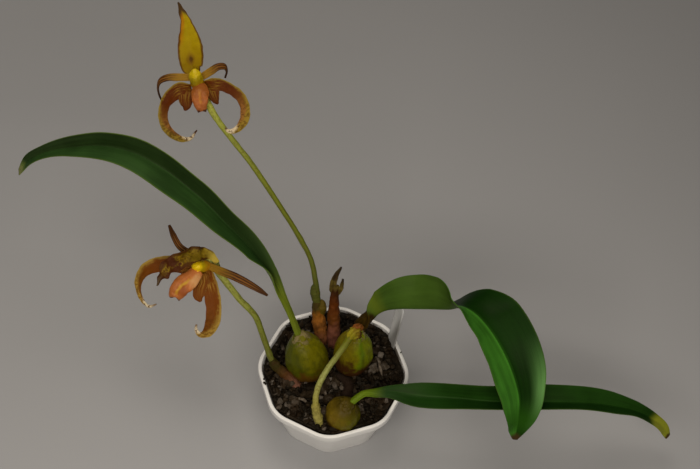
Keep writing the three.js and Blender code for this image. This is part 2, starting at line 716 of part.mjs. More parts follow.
const bulbs = Object.fromEntries(Object.entries(PSEUDOBULBS).map(([name, form]) => (
  [name, addPiece(`pseudobulb_${name}`, pseudobulb(form), FINISH.pseudobulb)]
)));
for (const [name, form] of Object.entries(LEAVES)) {
  addPiece(`leaf_${name}`, leaf(form), FINISH.leaf, [bulbs[name]]);
}

// What stands in the mix, which is cut clear of all of it.
const standing = Object.values(bulbs);
const stalks = Object.entries(STEMS).map(([name, rows]) => (
  addPiece(name, stem(rows), FINISH.stem, [...Object.values(bulbs), ...organsInPlace])
));
standing.push(...stalks);
addPiece('withered_flower', witheredFlower(), FINISH.sheath, stalks);
for (const [name, rows] of Object.entries(SHEATHS)) {
  standing.push(addPiece(name, stem(rows, 10), FINISH.sheath, standing));
}
const collars = [...standing];
for (const [name, rows] of Object.entries(BRACTS)) {
  collars.push(addPiece(name, stem(rows), FINISH.bract, collars));
}
standing.push(addPiece('new_shoot', newShoot(), FINISH.sheath, standing));
standing.push(addPiece('rhizome', stem(RHIZOME, 10), FINISH.rhizome, standing));
for (const [name, rows] of Object.entries(ROOTS)) {
  standing.push(addPiece(name, stem(rows, 6), FINISH.root));
}
standing.push(addPiece('plant_label', plantLabel(), FINISH.label));
addPiece('potting_mix', pottingMix(), FINISH.mix, standing);
addPiece('pot', pot(), FINISH.pot);

export default plant;
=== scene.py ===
"""Looks of a potted Bulbophyllum lobbii: every solid gets a fine piece with its own material.

Tables are in millimetres in the frame of the solids, and meshes are made in metres.
"""

import math

import bmesh
import bpy
import numpy as np
from mathutils import Matrix, Vector, noise


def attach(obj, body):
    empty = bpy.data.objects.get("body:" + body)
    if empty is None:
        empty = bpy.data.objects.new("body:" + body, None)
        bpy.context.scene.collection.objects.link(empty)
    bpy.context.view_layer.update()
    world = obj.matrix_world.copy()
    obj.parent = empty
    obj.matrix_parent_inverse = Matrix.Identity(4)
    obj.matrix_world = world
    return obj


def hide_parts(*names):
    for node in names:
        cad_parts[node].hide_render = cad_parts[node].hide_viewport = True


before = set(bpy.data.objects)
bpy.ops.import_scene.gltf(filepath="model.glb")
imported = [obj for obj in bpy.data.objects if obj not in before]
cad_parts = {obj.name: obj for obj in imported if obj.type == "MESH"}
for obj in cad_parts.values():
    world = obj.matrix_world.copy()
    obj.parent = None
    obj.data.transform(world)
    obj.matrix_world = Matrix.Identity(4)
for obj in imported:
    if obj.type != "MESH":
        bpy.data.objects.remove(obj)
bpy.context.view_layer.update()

MM = 0.001
# SEED starts the draws that place the bark, as in the solids. Noise has a seed of its own.
SEED = 7
noise.seed_set(23)

# Camera: where it stands, how far it leans forward from straight down, and its roll.
CAMERA = {"place": (0.005, -0.3705, 0.698), "lens": 61.71, "sensor": 36.0, "tilt": 36.0, "roll": 3.6}

POT = {
    "across_flats": 90.0, "base_across_flats": 67.0, "height": 44.0, "rounding": 0.46, "turn": -1.5,
    "wall": 1.4, "floor": 1.6, "lip_width": 2.3, "lip_height": 5.0, "lip_round": 0.7,
    "overhang": 1.0, "foot_round": 1.2, "drain_radius": 3.5, "drain_circle": 22.0, "drain_count": 4,
}
GAP = 0.35
# The solids draw once for each point of the mix's rings before they place any bark.
MIX = {"edge_level": 42.0, "mound": 1.0, "bed_depth": 6.0, "sunk": 0.7, "rings": 5, "ring_points": 32}
BARK = {"count": 38, "smallest": 3.2, "largest": 5.8, "reach": 38.0, "flatness": 0.62, "lift": 0.2}
CRUMBS = {"count": 1500, "smallest": 0.9, "largest": 3.4, "bank": 1.9}
RIM_CRUMBS = [(-41.5, -12.7, 1.5), (-42.4, -9.8, 0.9), (41.7, 15.4, 0.8)]
LABEL = {
    "width": 8.8, "length": 52.3, "thickness": 0.8, "point": 9.0, "bow": 0.35,
    "foot": (34.1, 21.3, 34.0), "turn": 24.0, "lean": 5.0,
}

PSEUDOBULBS = {
    "left": {"foot": (-13.8, 0.5, 38), "tip": (-21.7, 5.6, 74), "radius": 13.2},
    "right": {"foot": (10.4, 5, 39), "tip": (13, 11, 75), "radius": 12},
    "front": {"foot": (5.5, -32, 37), "tip": (10.5, -29, 58), "radius": 10.6},
}
# Share of the height and share of the radius.
BULB_PROFILE = [
    (0, 0.62), (0.1, 0.82), (0.24, 0.97), (0.4, 1), (0.56, 0.94),
    (0.7, 0.81), (0.82, 0.62), (0.91, 0.44), (0.97, 0.33), (1, 0.27),
]
RIDGES = {"count": 5, "depth": 0.025, "fine_count": 13, "fine_depth": 0.014}

# Leaves: where the stalk ends and how thick it is, and stations with x, y, z, the width of one
# half, the roll about the midrib and the channel, both in degrees.
LEAF = {"blade": 1.4, "margin": 0.5}
LEAVES = {
    "left": {
        "petiole": (0.16, 3.6),
        "wrinkle": 0.1,
        "stations": [
            [-22.5, 6.5, 73, 2.3, 0, 10], [-28, 13, 85, 2.3, 0, 20], [-34, 18, 97, 3.4, 0, 40],
            [-41, 25, 109, 7, 0, 70], [-52, 32, 123, 11, 20, 58], [-68, 40, 138, 14, 28, 58],
            [-85, 50, 150, 15, 34, 54], [-103, 60, 158, 15, 38, 50], [-121, 67, 162, 14, 38, 50],
            [-140, 72, 161, 11.5, 38, 48], [-158, 74, 156, 8.5, 36, 46], [-176, 76, 147, 5.5, 30, 40],
            [-188, 76, 138, 4.4, 20, 30], [-195.5, 74, 128.5, 2.6, 0, 15],
        ],
    },
    "right": {
        "petiole": (0.14, 6.4),
        "wrinkle": 0.6,
        "stations": [
            [12.8, 12.2, 65, 3.9, 0, 10], [15.8, 15.4, 73.5, 4.3, 0, 15], [22.2, 20.2, 80, 6.8, 50, 30],
            [29, 19.4, 87, 14.2, 58, 52], [37.6, 17.5, 93, 19, 59, 54], [49, 14.2, 99, 21.2, 72, 57],
            [61.2, 12.4, 102.8, 21.4, 74, 40], [67.5, 12.5, 103.7, 21.3, 65, 14],
            [72.7, 13.2, 104.6, 21, 47, 5], [81, 10.3, 103, 21, 19, 20], [90.4, 2.7, 98.6, 23, 8, 34],
            [99.6, -9.6, 92, 22.4, 9, 31], [106.4, -22, 84, 20, 14, 23], [109.8, -31, 76.2, 15.5, 18, 20],
            [110.4, -39, 66.2, 10, 21, 28], [110.2, -45.6, 55.8, 1.5, 0, 10],
        ],
    },
    "front": {
        "petiole": (0.2, 3.6),
        "wrinkle": 0.1,
        "stations": [
            [12, -28.5, 56, 2.2, 0, 5], [19, -24.5, 60, 2.2, 0, 5], [26, -25, 63, 2.8, -10, 8],
            [35, -24.5, 64.5, 4.2, -12, 18], [52, -27, 66, 9, -15, 33], [76, -27, 66, 11, -16, 48],
            [100, -26.5, 64, 11.5, -8, 50], [125, -23, 61, 11.5, 0, 44], [150, -20, 57, 11, 4, 40],
            [169, -18, 52, 9.5, 0, 37], [186, -17, 46, 6.6, -6, 38], [198, -18.3, 39.8, 4.6, -10, 28],
            [206.5, -20.3, 33, 3.9, -10, 15], [210.5, -23.2, 27.6, 2.2, 0, 5],
        ],
    },
}

# Stems, sheaths and roots: x, y, z and radius.
STEMS = {
    "peduncle_upper": [
        [-8, 20, 37, 1.9], [-11, 28, 56, 1.9], [-12.4, 35, 68.1, 1.8], [-14.4, 41, 80.3, 1.7],
        [-17.7, 49, 90.6, 1.6], [-24.2, 56, 101, 1.6], [-40.3, 68.5, 123, 1.6], [-57.6, 81.5, 143.8, 1.7],
        [-67, 88, 152.7, 1.7], [-77.1, 95.5, 162.8, 1.9], [-81.5, 100, 167.5, 2.1], [-87, 109, 170.5, 2.5],
        [-88.6, 112, 171.2, 2.6],
    ],
    "peduncle_lower": [
        [-19.5, -13, 38.5, 1.9], [-24.6, -9.1, 43.2, 1.9], [-30.5, -4.5, 44.6, 1.9], [-35, -2, 46.6, 1.9],
        [-38.5, 1, 50, 1.9], [-41.6, 5.5, 56.7, 1.9], [-45.3, 11, 65.6, 1.9], [-49, 16, 73.9, 1.9],
        [-53.8, 19.5, 78.3, 1.9], [-58.9, 22.5, 82, 2], [-63.8, 25.5, 87.9, 2], [-68.8, 29, 93, 2.1],
        [-72.8, 32, 98, 2.3], [-75.5, 35.5, 104, 2.5], [-78, 35.5, 107.5, 2.8], [-79.5, 33, 108, 2.8],
    ],
    "peduncle_old": [
        [-6, -38, 37, 1.9], [-8.7, -31.8, 50, 1.9], [-9.3, -26.5, 57, 1.8], [-8, -21.5, 62, 1.8],
        [-3.2, -13, 68, 1.8], [2, -6.5, 73, 1.8], [6.7, -1, 78, 1.9], [9.5, 3.5, 81, 2.2],
    ],
}
SHEATHS = {
    "sheath_upper": [
        [-8, 20, 36, 4.4], [-9.5, 24, 48, 4.4], [-11, 28, 56, 4.2], [-12, 32, 63, 3.6],
        [-12.4, 34.6, 67.5, 2.9],
    ],
    "sheath_lower": [
        [-21, -12, 40, 3], [-25.5, -8.4, 43.6, 3.2], [-30.5, -4.5, 44.8, 3.3], [-35, -1.9, 46.8, 3.1],
        [-38.3, 0.8, 49.8, 2.7],
    ],
    "sheath_old": [
        [-6, -38.5, 36, 2.8], [-6.8, -35.5, 44, 2.9], [-8.4, -32.3, 49, 2.8], [-9.1, -29.5, 53, 2.5],
    ],
}
BRACTS = {
    "bract_left": [
        [-12.6, 34, 66.6, 2.2], [-13.9, 36.5, 70.8, 3], [-14.7, 38.5, 74.6, 2.7], [-14.9, 40.5, 78.6, 0.8],
    ],
    "bract_right": [
        [-10.3, 30.2, 59.7, 2.4], [-9.6, 31.7, 63.7, 3.1], [-9.4, 33.2, 67.2, 2.4], [-10.1, 34.7, 69.7, 0.6],
    ],
}
ROOTS = {
    "root_1": [[26, 12, 42, 0.8], [28, 8, 44.8, 0.9], [29, 3, 45, 0.9], [30.5, -1, 42, 0.7]],
    "root_2": [[-6, -13, 42, 0.7], [-4.5, -16, 45, 0.8], [-3.5, -19, 44.8, 0.8], [-4, -22, 42, 0.6]],
    "root_3": [[-24, -20, 42, 0.7], [-21, -22, 44.8, 0.8], [-17, -22.5, 44.7, 0.8], [-14, -24, 42, 0.6]],
}
RHIZOME = [
    [-14, -6, 40, 3], [-4, -4, 40, 3], [6, -5, 42, 3.4], [10, -10, 43.5, 3.2], [9, -17, 44, 3.2],
    [7, -25, 42, 3],
]
WITHERED = [
    [[8.6, 2.4, 79.9, 2.6], [10.2, 3.8, 81.4, 3.3], [12, 5.2, 82, 3.6], [14.4, 6.8, 81, 1.6]],
    [[10.2, 6.4, 83.4, 1.2], [12.5, 7.4, 83.8, 2.1], [15, 8, 82.8, 1.9], [16.6, 8.2, 81.6, 0.9]],
    [[12, 5, 81, 2.4], [14, 4.6, 79.8, 2.4], [15.4, 4.4, 78.6, 1]],
]
SHOOT = [
    [-1, 18.5, 37, 4], [-1.4, 25, 56, 3.9], [-2, 29, 66, 3.4], [-2, 35, 78, 2.4], [-1.5, 37, 83, 1.6],
]

# Blades without roll have five columns: x, y, z, the width of one half and the channel.
WITHOUT_ROLL = 5
PRONGS = [
    [[-2, 34.5, 76, 1.6, 30], [-3.4, 37, 83, 2.8, 40], [-2.6, 39.5, 89, 2.4, 40], [1, 42.4, 95, 0.5, 20]],
    [[-1, 34.5, 76, 1.2, 30], [1.4, 36.5, 81, 1.8, 40], [2.4, 39, 87, 0.5, 20]],
]

# Flowers: each in its own frame, x to its right, y to its top and z out of its face. Where the
# petals turn, their faces look sideways at the tip.
FACE = {"lean": 36, "roll": 3.6}
FLOWERS = {
    "upper": {
        "centre": (-90.4, 112.4, 177.4),
        "notch": 0.6,
        "crumple": 0.3,
        "petals_turn": True,
        "column": [
            [0.5, -4, -3.5, 3], [0.2, -1.5, 0, 4], [-0.5, 2, 3, 3.8], [-1, 5, 4.4, 2.2], [-1.2, 6, 4.8, 1],
        ],
        "dorsal": [
            [-1.6, 3, -2.5, 2.4, 20], [-2.2, 5, -2.7, 4.4, 22], [-3, 7, -2.9, 6.2, 24],
            [-3.3, 9.2, -3, 7.4, 25], [-3.6, 14, -3, 8, 22], [-4.1, 20.7, -2.5, 7.6, 20],
            [-5, 27, -1, 6, 20], [-6.4, 34, 1, 3.6, 20], [-8.6, 40, 2, 1.9, 15], [-10.9, 45.6, 2, 0.5, 5],
        ],
        "petal_left": [
            [-4, 2, -1.5, 2.2, 10], [-11, 1.9, 0, 2.3, 10], [-17, 1.7, 0, 2.1, 8], [-22, 0, -2.5, 1.8, 5],
            [-23.9, -3.5, -6, 1.7, 5], [-23.4, -8, -9, 1.3, 5], [-21.5, -12, -11, 0.5, 0],
        ],
        "lateral_left": [
            [-3.5, -5, -2, 3, 10], [-9.5, -6, 0, 5.2, 15], [-14.8, -8.9, 0, 4.2, 18],
            [-18.9, -14.2, -1, 3.3, 20], [-20.4, -20.7, -3, 2.9, 20], [-18.9, -27, -5, 2.8, 20],
            [-14.8, -31.6, -7, 2.5, 20], [-9, -34, -8, 1.7, 15], [-4.6, -33.2, -8, 1, 10],
            [-1, -28.6, -7, 0.4, 0],
        ],
        "lobe_left": [
            [-6, -6.5, -0.8, 4.6, 10], [-6.4, -11.5, 0.5, 4.5, 20], [-6.2, -15.4, 0.4, 2.8, 15],
            [-7, -17.6, 0, 0.6, 0],
        ],
        "petal_right": [
            [3, 2.4, -1.5, 2.2, 10], [8, 5.3, 0, 2.3, 10], [12.5, 8, 0.5, 2.1, 8], [16, 8.3, -1.5, 1.8, 5],
            [17, 6, -4.5, 1.5, 5], [15.8, 2.5, -7, 0.5, 0],
        ],
        "lateral_right": [
            [3.8, -3, -2, 3, 10], [9.5, -2.7, 0, 4.2, 15], [14.8, -3, 0, 3.7, 18],
            [20.1, -5.3, -0.5, 3.3, 20], [24.9, -8.9, -1, 3.2, 20], [27.8, -14.2, -1, 3, 20],
            [28.4, -20.7, 0, 3, 20], [26.6, -26, 2, 2.6, 20], [23.1, -29.6, 4, 1.8, 15],
            [19, -30.3, 5.5, 1.1, 10], [17.2, -28.4, 6, 0.4, 0],
        ],
        "lobe_right": [
            [8.6, -4.6, -0.5, 4.4, 10], [10, -9.3, 0.6, 3.6, 20], [11.2, -12.2, 0.3, 2, 15],
            [12.6, -13.6, 0, 0.5, 0],
        ],
        "lip": [
            [1.8, -3, 1.5, 3.8, 0], [2.4, -7.6, 5.6, 5.3, 5], [2.7, -11.2, 6.7, 5, 10], [3, -15, 6.2, 4, 5],
            [3.5, -19, 4, 2.4, 0],
        ],
    },
    "lower": {
        "centre": (-82.2, 25.8, 109),
        "notch": 2.4,
        "crumple": 1.9,
        "petals_turn": False,
        "column": [
            [4, 1.5, -3.5, 3], [1.5, 1.5, -0.5, 3.6], [-1, 1.4, 2.5, 3.5], [-3, 0.8, 4.4, 2.2],
            [-3.6, 0.5, 4.8, 1],
        ],
        "dorsal": [
            [9.6, 3.4, -5.5, 1.6, 15], [6.8, 7, -3, 2.2, 18], [3, 8.7, 0.6, 3.6, 22], [-1, 8.6, 5, 4.6, 25],
            [-7, 6.5, 9, 5.6, 28], [-13, 3.2, 11, 5.9, 28], [-18, -0.6, 11, 4.7, 25],
            [-21.5, -5, 9.5, 2.9, 20], [-24.2, -9.3, 8, 0.6, 5],
        ],
        "petal_left": [
            [0, 4.5, -2.5, 2, 10], [-6, 8.5, -2, 2.2, 10], [-12.3, 13, -2, 2, 10],
            [-16.2, 19.6, -3, 1.8, 10], [-19, 25.6, -5, 0.8, 5],
        ],
        "lateral_left": [
            [-3, -1, -3.5, 3, 10], [-9, 1, -3, 4.6, 15], [-15, 2.4, -3, 5, 15], [-23.8, 2.4, -3, 4.8, 18],
            [-31, 0.4, -4, 4.2, 20], [-35.7, -3.8, -6, 3.2, 20], [-38, -9.5, -8, 2.2, 18],
            [-37.5, -15.5, -9, 1.3, 10], [-34.8, -20.6, -9, 1, 10], [-31, -23, -8, 0.9, 5],
            [-27, -21.6, -7, 0.4, 0],
        ],
        "lobe_left": [[-7, -1, -2.5, 2, 10], [-9.5, -4, -1.5, 2.2, 15], [-11, -7, -1, 0.8, 10]],
        "petal_right": [
            [5, 1.5, -1.5, 2, 10], [12, -1.4, 1, 2.5, 12], [20.8, -4.8, 2.5, 2.5, 12],
            [29.8, -9.5, 2, 2.2, 10], [36, -13.3, 1, 1.6, 8], [39.9, -16, 0, 0.7, 0],
        ],
        "lateral_right": [
            [3.4, -1.2, -3, 3.2, 10], [6, -9.5, 0, 4.6, 15], [7.7, -17.5, 1, 4.9, 18],
            [8.3, -25, 1, 4.9, 20], [7.3, -32, 0, 4.6, 20], [4.4, -37.6, -1.5, 3.4, 18],
            [0, -39.4, -3, 1.6, 10], [-2.6, -37, -4, 1, 5], [-2.8, -33.5, -4, 0.5, 0],
        ],
        "lobe_right": [
            [1, -3.2, -1.2, 3.4, 10], [1.2, -8, -0.2, 4.2, 15], [-0.2, -12.5, 0.8, 4.2, 20],
            [-0.6, -16.8, 0.6, 3.2, 15], [0.4, -19.6, 0.3, 0.8, 0],
        ],
        "lip": [
            [-0.7, -1.2, 2.3, 3.6, 0], [-5.6, -6.7, 5, 5.5, 5], [-10.4, -10.6, 6, 5.7, 10],
            [-13.5, -15, 5, 4.8, 5], [-14.8, -18.4, 3, 2.8, 0],
        ],
    },
}
THICK = {"sepal": 1.0, "petal": 0.9, "lobe": 1.2, "lip": 3.2}

DARK_BROWN, PURPLE_BROWN, FLECK_BROWN = (0.045, 0.018, 0.006), (0.22, 0.08, 0.05), (0.13, 0.08, 0.012)
WART_BROWN = (0.045, 0.012, 0.008)


# Curves and surfaces


# A small step along a curve, and the length below which a stretch counts as none.
TINY = 1e-4


def unit(v):
    return v / np.maximum(np.linalg.norm(v, axis=-1, keepdims=True), 1e-12)


def curve(points, ts):
    """Centripetal Catmull-Rom curve through the points, at shares 0 to 1 of its stretches."""
    points = np.asarray(points, float)
    last = len(points) - 1
    padded = np.vstack([2 * points[0] - points[1], points, 2 * points[-1] - points[-2]])
    place = np.clip(ts, 0, 1) * last
    index = np.minimum(place.astype(int), last - 1)
    w = (place - index)[:, None]
    p0, p1, p2, p3 = (padded[index + k] for k in range(4))
    first, middle, end = (
        np.sqrt(np.linalg.norm(b - a, axis=1))[:, None] for a, b in ((p0, p1), (p1, p2), (p2, p3))
    )
    d1 = np.where(middle < TINY, 1.0, middle)
    d0 = np.where(first < TINY, d1, first)
    d2 = np.where(end < TINY, d1, end)
    m1 = ((p1 - p0) / d0 - (p2 - p0) / (d0 + d1) + (p2 - p1) / d1) * d1
    m2 = ((p2 - p1) / d1 - (p3 - p1) / (d1 + d2) + (p3 - p2) / d2) * d1
    return p1 + m1 * w + (3 * (p2 - p1) - 2 * m1 - m2) * w**2 + (2 * (p1 - p2) + m1 + m2) * w**3


def tangents(points, ts):
    low, high = np.clip(ts - TINY, 0, 1), np.clip(ts + TINY, 0, 1)
    return unit(curve(points, high) - curve(points, low))


def smooth(low, high, x):
    t = np.clip((x - low) / (high - low), 0, 1)
    return t * t * (3 - 2 * t)


def facing(start, end=None):
    """The way a blade's upper face looks: one way, or turning from `start` to `end`."""
    start = np.array(start, float)
    end = start if end is None else np.array(end, float)
    return lambda ts: unit(start + ts[:, None] * (end - start))


FRONT = facing((0, 0, 1))


def blade_grid(rows, steps, across, top=FRONT, crease=0.14, cup=0.0, ripple=0.0, waves=5.0):
    """Middle surface of a blade: a grid along its midrib and across it, and its shares both ways."""
    rows = np.array(rows, float)
    if rows.shape[1] == WITHOUT_ROLL:
        rows = np.insert(rows, WITHOUT_ROLL - 1, 0, axis=1)
    ts = np.linspace(0, 1, steps + 1)
    shares = np.sin(np.linspace(-1, 1, across) * math.pi / 2)
    ahead = tangents(rows[:, :3], ts)
    side = unit(np.cross(top(ts), ahead))
    face = np.cross(ahead, side)
    half, roll, channel = curve(rows[:, 3:], ts).T
    outs = []
    for sign in (-1, 1):
        rise = np.radians(channel - sign * roll)[:, None]
        outs.append(sign * side * np.cos(rise) + face * np.sin(rise))
    lift = (np.sqrt(shares**2 + crease**2) - crease) / (math.sqrt(1 + crease**2) - crease)
    apart, together = (outs[1] - outs[0]) / 2, (outs[1] + outs[0]) / 2
    grid = curve(rows[:, :3], ts)[:, None] + half[:, None, None] * (
        shares[None, :, None] * apart[:, None] + lift[None, :, None] * together[:, None]
    )
    wave = cup * (shares**2)[None] + ripple * np.abs(shares[None]) ** 3 * np.sin(
        2 * math.pi * waves * ts[:, None] + 1.9 * np.sign(shares)[None]
    )
    grid += (half[:, None] * wave)[..., None] * face[:, None]
    return grid, ts, shares


def thickened(grid, depth):
    """Points and faces of a closed sheet: the grid moved out by `depth` both ways."""
    along, across = np.gradient(grid, axis=0), np.gradient(grid, axis=1)
    normal = unit(np.cross(along, across))
    upper, lower = grid + normal * depth[..., None], grid - normal * depth[..., None]
    rows, columns = grid.shape[:2]
    number = np.arange(rows * columns).reshape(rows, columns)
    under = number + rows * columns
    faces = []
    for i in range(rows - 1):
        for j in range(columns - 1):
            faces.append((number[i, j], number[i + 1, j], number[i + 1, j + 1], number[i, j + 1]))
            faces.append((under[i, j], under[i, j + 1], under[i + 1, j + 1], under[i + 1, j]))
        faces.append((number[i, 0], under[i, 0], under[i + 1, 0], number[i + 1, 0]))
        faces.append((number[i, -1], number[i + 1, -1], under[i + 1, -1], under[i, -1]))
    for j in range(columns - 1):
        faces.append((number[0, j], number[0, j + 1], under[0, j + 1], under[0, j]))
        faces.append((number[-1, j], under[-1, j], under[-1, j + 1], number[-1, j + 1]))
    return np.vstack([upper.reshape(-1, 3), lower.reshape(-1, 3)]), faces


def turned_ring(centre, reach, side, beside, angles):
    turned_out = np.cos(angles)[:, None] * side + np.sin(angles)[:, None] * beside
    return centre + reach[:, None] * turned_out


def tube_grid(rows, steps, sides, shape):
    """Rings round a path of x, y, z and radius. `shape` gives a factor for each share and angle."""
    rows = np.array(rows, float)
    ts = np.linspace(0, 1, steps + 1)
    path, ahead = curve(rows[:, :3], ts), tangents(rows[:, :3], ts)
    girth = np.column_stack([rows[:, 3], np.zeros((len(rows), 2))])
    radius = curve(girth, ts)[:, 0]
    angles = np.linspace(0, 2 * math.pi, sides, endpoint=False)
    side = np.array([1.0, 0.0, 0.0])
    rings = []
    for i, t in enumerate(ts):
        side = unit(side - side.dot(ahead[i]) * ahead[i])
        factor = 1.0 if shape is None else shape(t, angles)
        reach = radius[i] * factor * np.ones(sides)
        rings.append(turned_ring(path[i], reach, side, np.cross(ahead[i], side), angles))
    return np.array(rings), ts, angles


def closed_rings(rings):
    """Points and faces of a tube of rings with a middle point in each end."""
    rows, sides = rings.shape[:2]
    points = [*rings.reshape(-1, 3), rings[0].mean(0), rings[-1].mean(0)]
    first, last = rows * sides, rows * sides + 1
    faces = []
    for k in range(sides):
        n = (k + 1) % sides
        faces.append((k, first, n))
        faces.append(((rows - 1) * sides + k, (rows - 1) * sides + n, last))
        for i in range(rows - 1):
            a, b = i * sides + k, i * sides + n
            faces.append((a, b, b + sides, a + sides))
    return np.array(points), faces


def roughened(points, amount, size, seed=0.0):
    """Points moved by soft noise: `amount` in mm, with lumps of `size` mm."""
    shift = Vector((seed, seed * 0.7, -seed))
    moves = [noise.noise_vector(Vector(p) / size + shift) for p in points]
    return np.asarray(points) + amount * np.array([m[:] for m in moves])


# Pieces


class Part:
    """Points in mm and faces, with the values that its material reads at every point."""

    def __init__(self, points, faces, **values):
        self.points, self.faces, self.values = points, faces, values

    def roughen(self, amount, size, seed=0.0, share=None):
        """Moves the points by soft noise, or `share` of the way at each point."""
        moved = roughened(self.points, amount, size, seed)
        self.points = moved if share is None else self.points + share[:, None] * (moved - self.points)
        return self

    def carrying(self, **values):
        """The same shape with other values."""
        return Part(self.points, self.faces, **values)


def piece(name, part, material, nodes=(), place=None, flat=False):
    """A mesh made from a part. It rides on the CAD body and stands for `nodes`."""
    mesh = bpy.data.meshes.new(name)
    faces = [tuple(int(k) for k in face) for face in part.faces]
    mesh.from_pydata((np.asarray(part.points) * MM).tolist(), [], faces)
    for key, values in part.values.items():
        layer = mesh.attributes.new(key, "FLOAT", "POINT")
        layer.data.foreach_set("value", np.asarray(values, np.float32))
    if place is not None:
        mesh.transform(place)
    mesh.update()
    if not flat:
        mesh.shade_smooth()
    mesh.materials.append(material)
    made = add_object(name, mesh)
    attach(made, "root")
    if nodes:
        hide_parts(*nodes)
    return made


def placed(place, about_x, about_z):
    """A place in metres with a turn about Z and then one about X, both in degrees."""
    tilt = Matrix.Rotation(math.radians(about_x), 4, "X")
    return Matrix.Translation(place) @ tilt @ Matrix.Rotation(math.radians(about_z), 4, "Z")


def add_object(name, data):
    made = bpy.data.objects.new(name, data)
    bpy.context.scene.collection.objects.link(made)
    return made


def joined(parts):
    """Several parts with the same kinds of values as one."""
    faces, start = [], 0
    for part in parts:
        faces += [tuple(k + start for k in face) for face in part.faces]
        start += len(part.points)
    values = {key: np.concatenate([part.values[key] for part in parts]) for key in parts[0].values}
    return Part(np.vstack([part.points for part in parts]), faces, **values)


def blade_part(rows, steps, across, depth_at, **form):
    """A blade with values `along`, `across` and `upper`. `depth_at` gives half its thickness."""
    grid, ts, shares = blade_grid(rows, steps, across, **form)
    points, faces = thickened(grid, depth_at(ts[:, None], shares[None, :]))
    return Part(
        points,
        faces,
        along=np.tile(np.repeat(ts, len(shares)), 2),
        across=np.tile(shares, 2 * len(ts)),
        upper=np.repeat([1.0, 0.0], len(ts) * len(shares)),
    )


def tube_part(rows, steps, sides, shape=None):
    rings, ts, angles = tube_grid(rows, steps, sides, shape)
    along = np.append(np.repeat(ts, sides), [0.0, 1.0])
    around = np.append(np.tile(angles / (2 * math.pi), len(ts)), [0.0, 0.0])
    return Part(*closed_rings(rings), along=along, around=around)


# Materials


class Field:
    """A value in a material's node tree that sums and products can be made of."""

    def __init__(self, shader, socket):
        self.shader, self.socket = shader, socket

    def reckon(self, operation, *others):
        node = self.shader.add("ShaderNodeMath", operation=operation)
        for socket, value in zip(node.inputs, (self, *others)):
            self.shader.feed(socket, value)
        return Field(self.shader, node.outputs[0])

    def __add__(self, other):
        return self.reckon("ADD", other)

    def __sub__(self, other):
        return self.reckon("SUBTRACT", other)

    def __rsub__(self, other):
        return self.reckon("MULTIPLY_ADD", -1.0, other)

    def __mul__(self, other):
        return self.reckon("MULTIPLY", other)

    def __abs__(self):
        return self.reckon("ABSOLUTE")

    def sine(self):
        return self.reckon("SINE")

    def step(self, low, high):
        """0 below `low`, 1 above `high`, smooth between them."""
        node = self.shader.add("ShaderNodeMapRange", interpolation_type="SMOOTHSTEP")
        for key, value in (("Value", self), ("From Min", low), ("From Max", high)):
            self.shader.feed(node.inputs[key], value)
        return Field(self.shader, node.outputs[0])

    def band(self, low, high, soft=0.1):
        """1 between `low` and `high`, 0 outside them."""
        return self.step(low - soft, low + soft) * (1.0 - self.step(high - soft, high + soft))

    def near(self, middle, half):
        """1 at `middle`, falling to 0 at twice `half` from it."""
        return self.band(middle - half, middle + half, half)

    def ramp(self, *stops):
        """A colour that runs through (place, colour) stops."""
        node = self.shader.add("ShaderNodeValToRGB")
        self.shader.feed(node.inputs["Fac"], self)
        elements = node.color_ramp.elements
        while len(elements) < len(stops):
            elements.new(0.5)
        for element, (place, colour) in zip(elements, stops):
            element.position, element.color = place, (*colour, 1.0)
        return Field(self.shader, node.outputs["Color"])


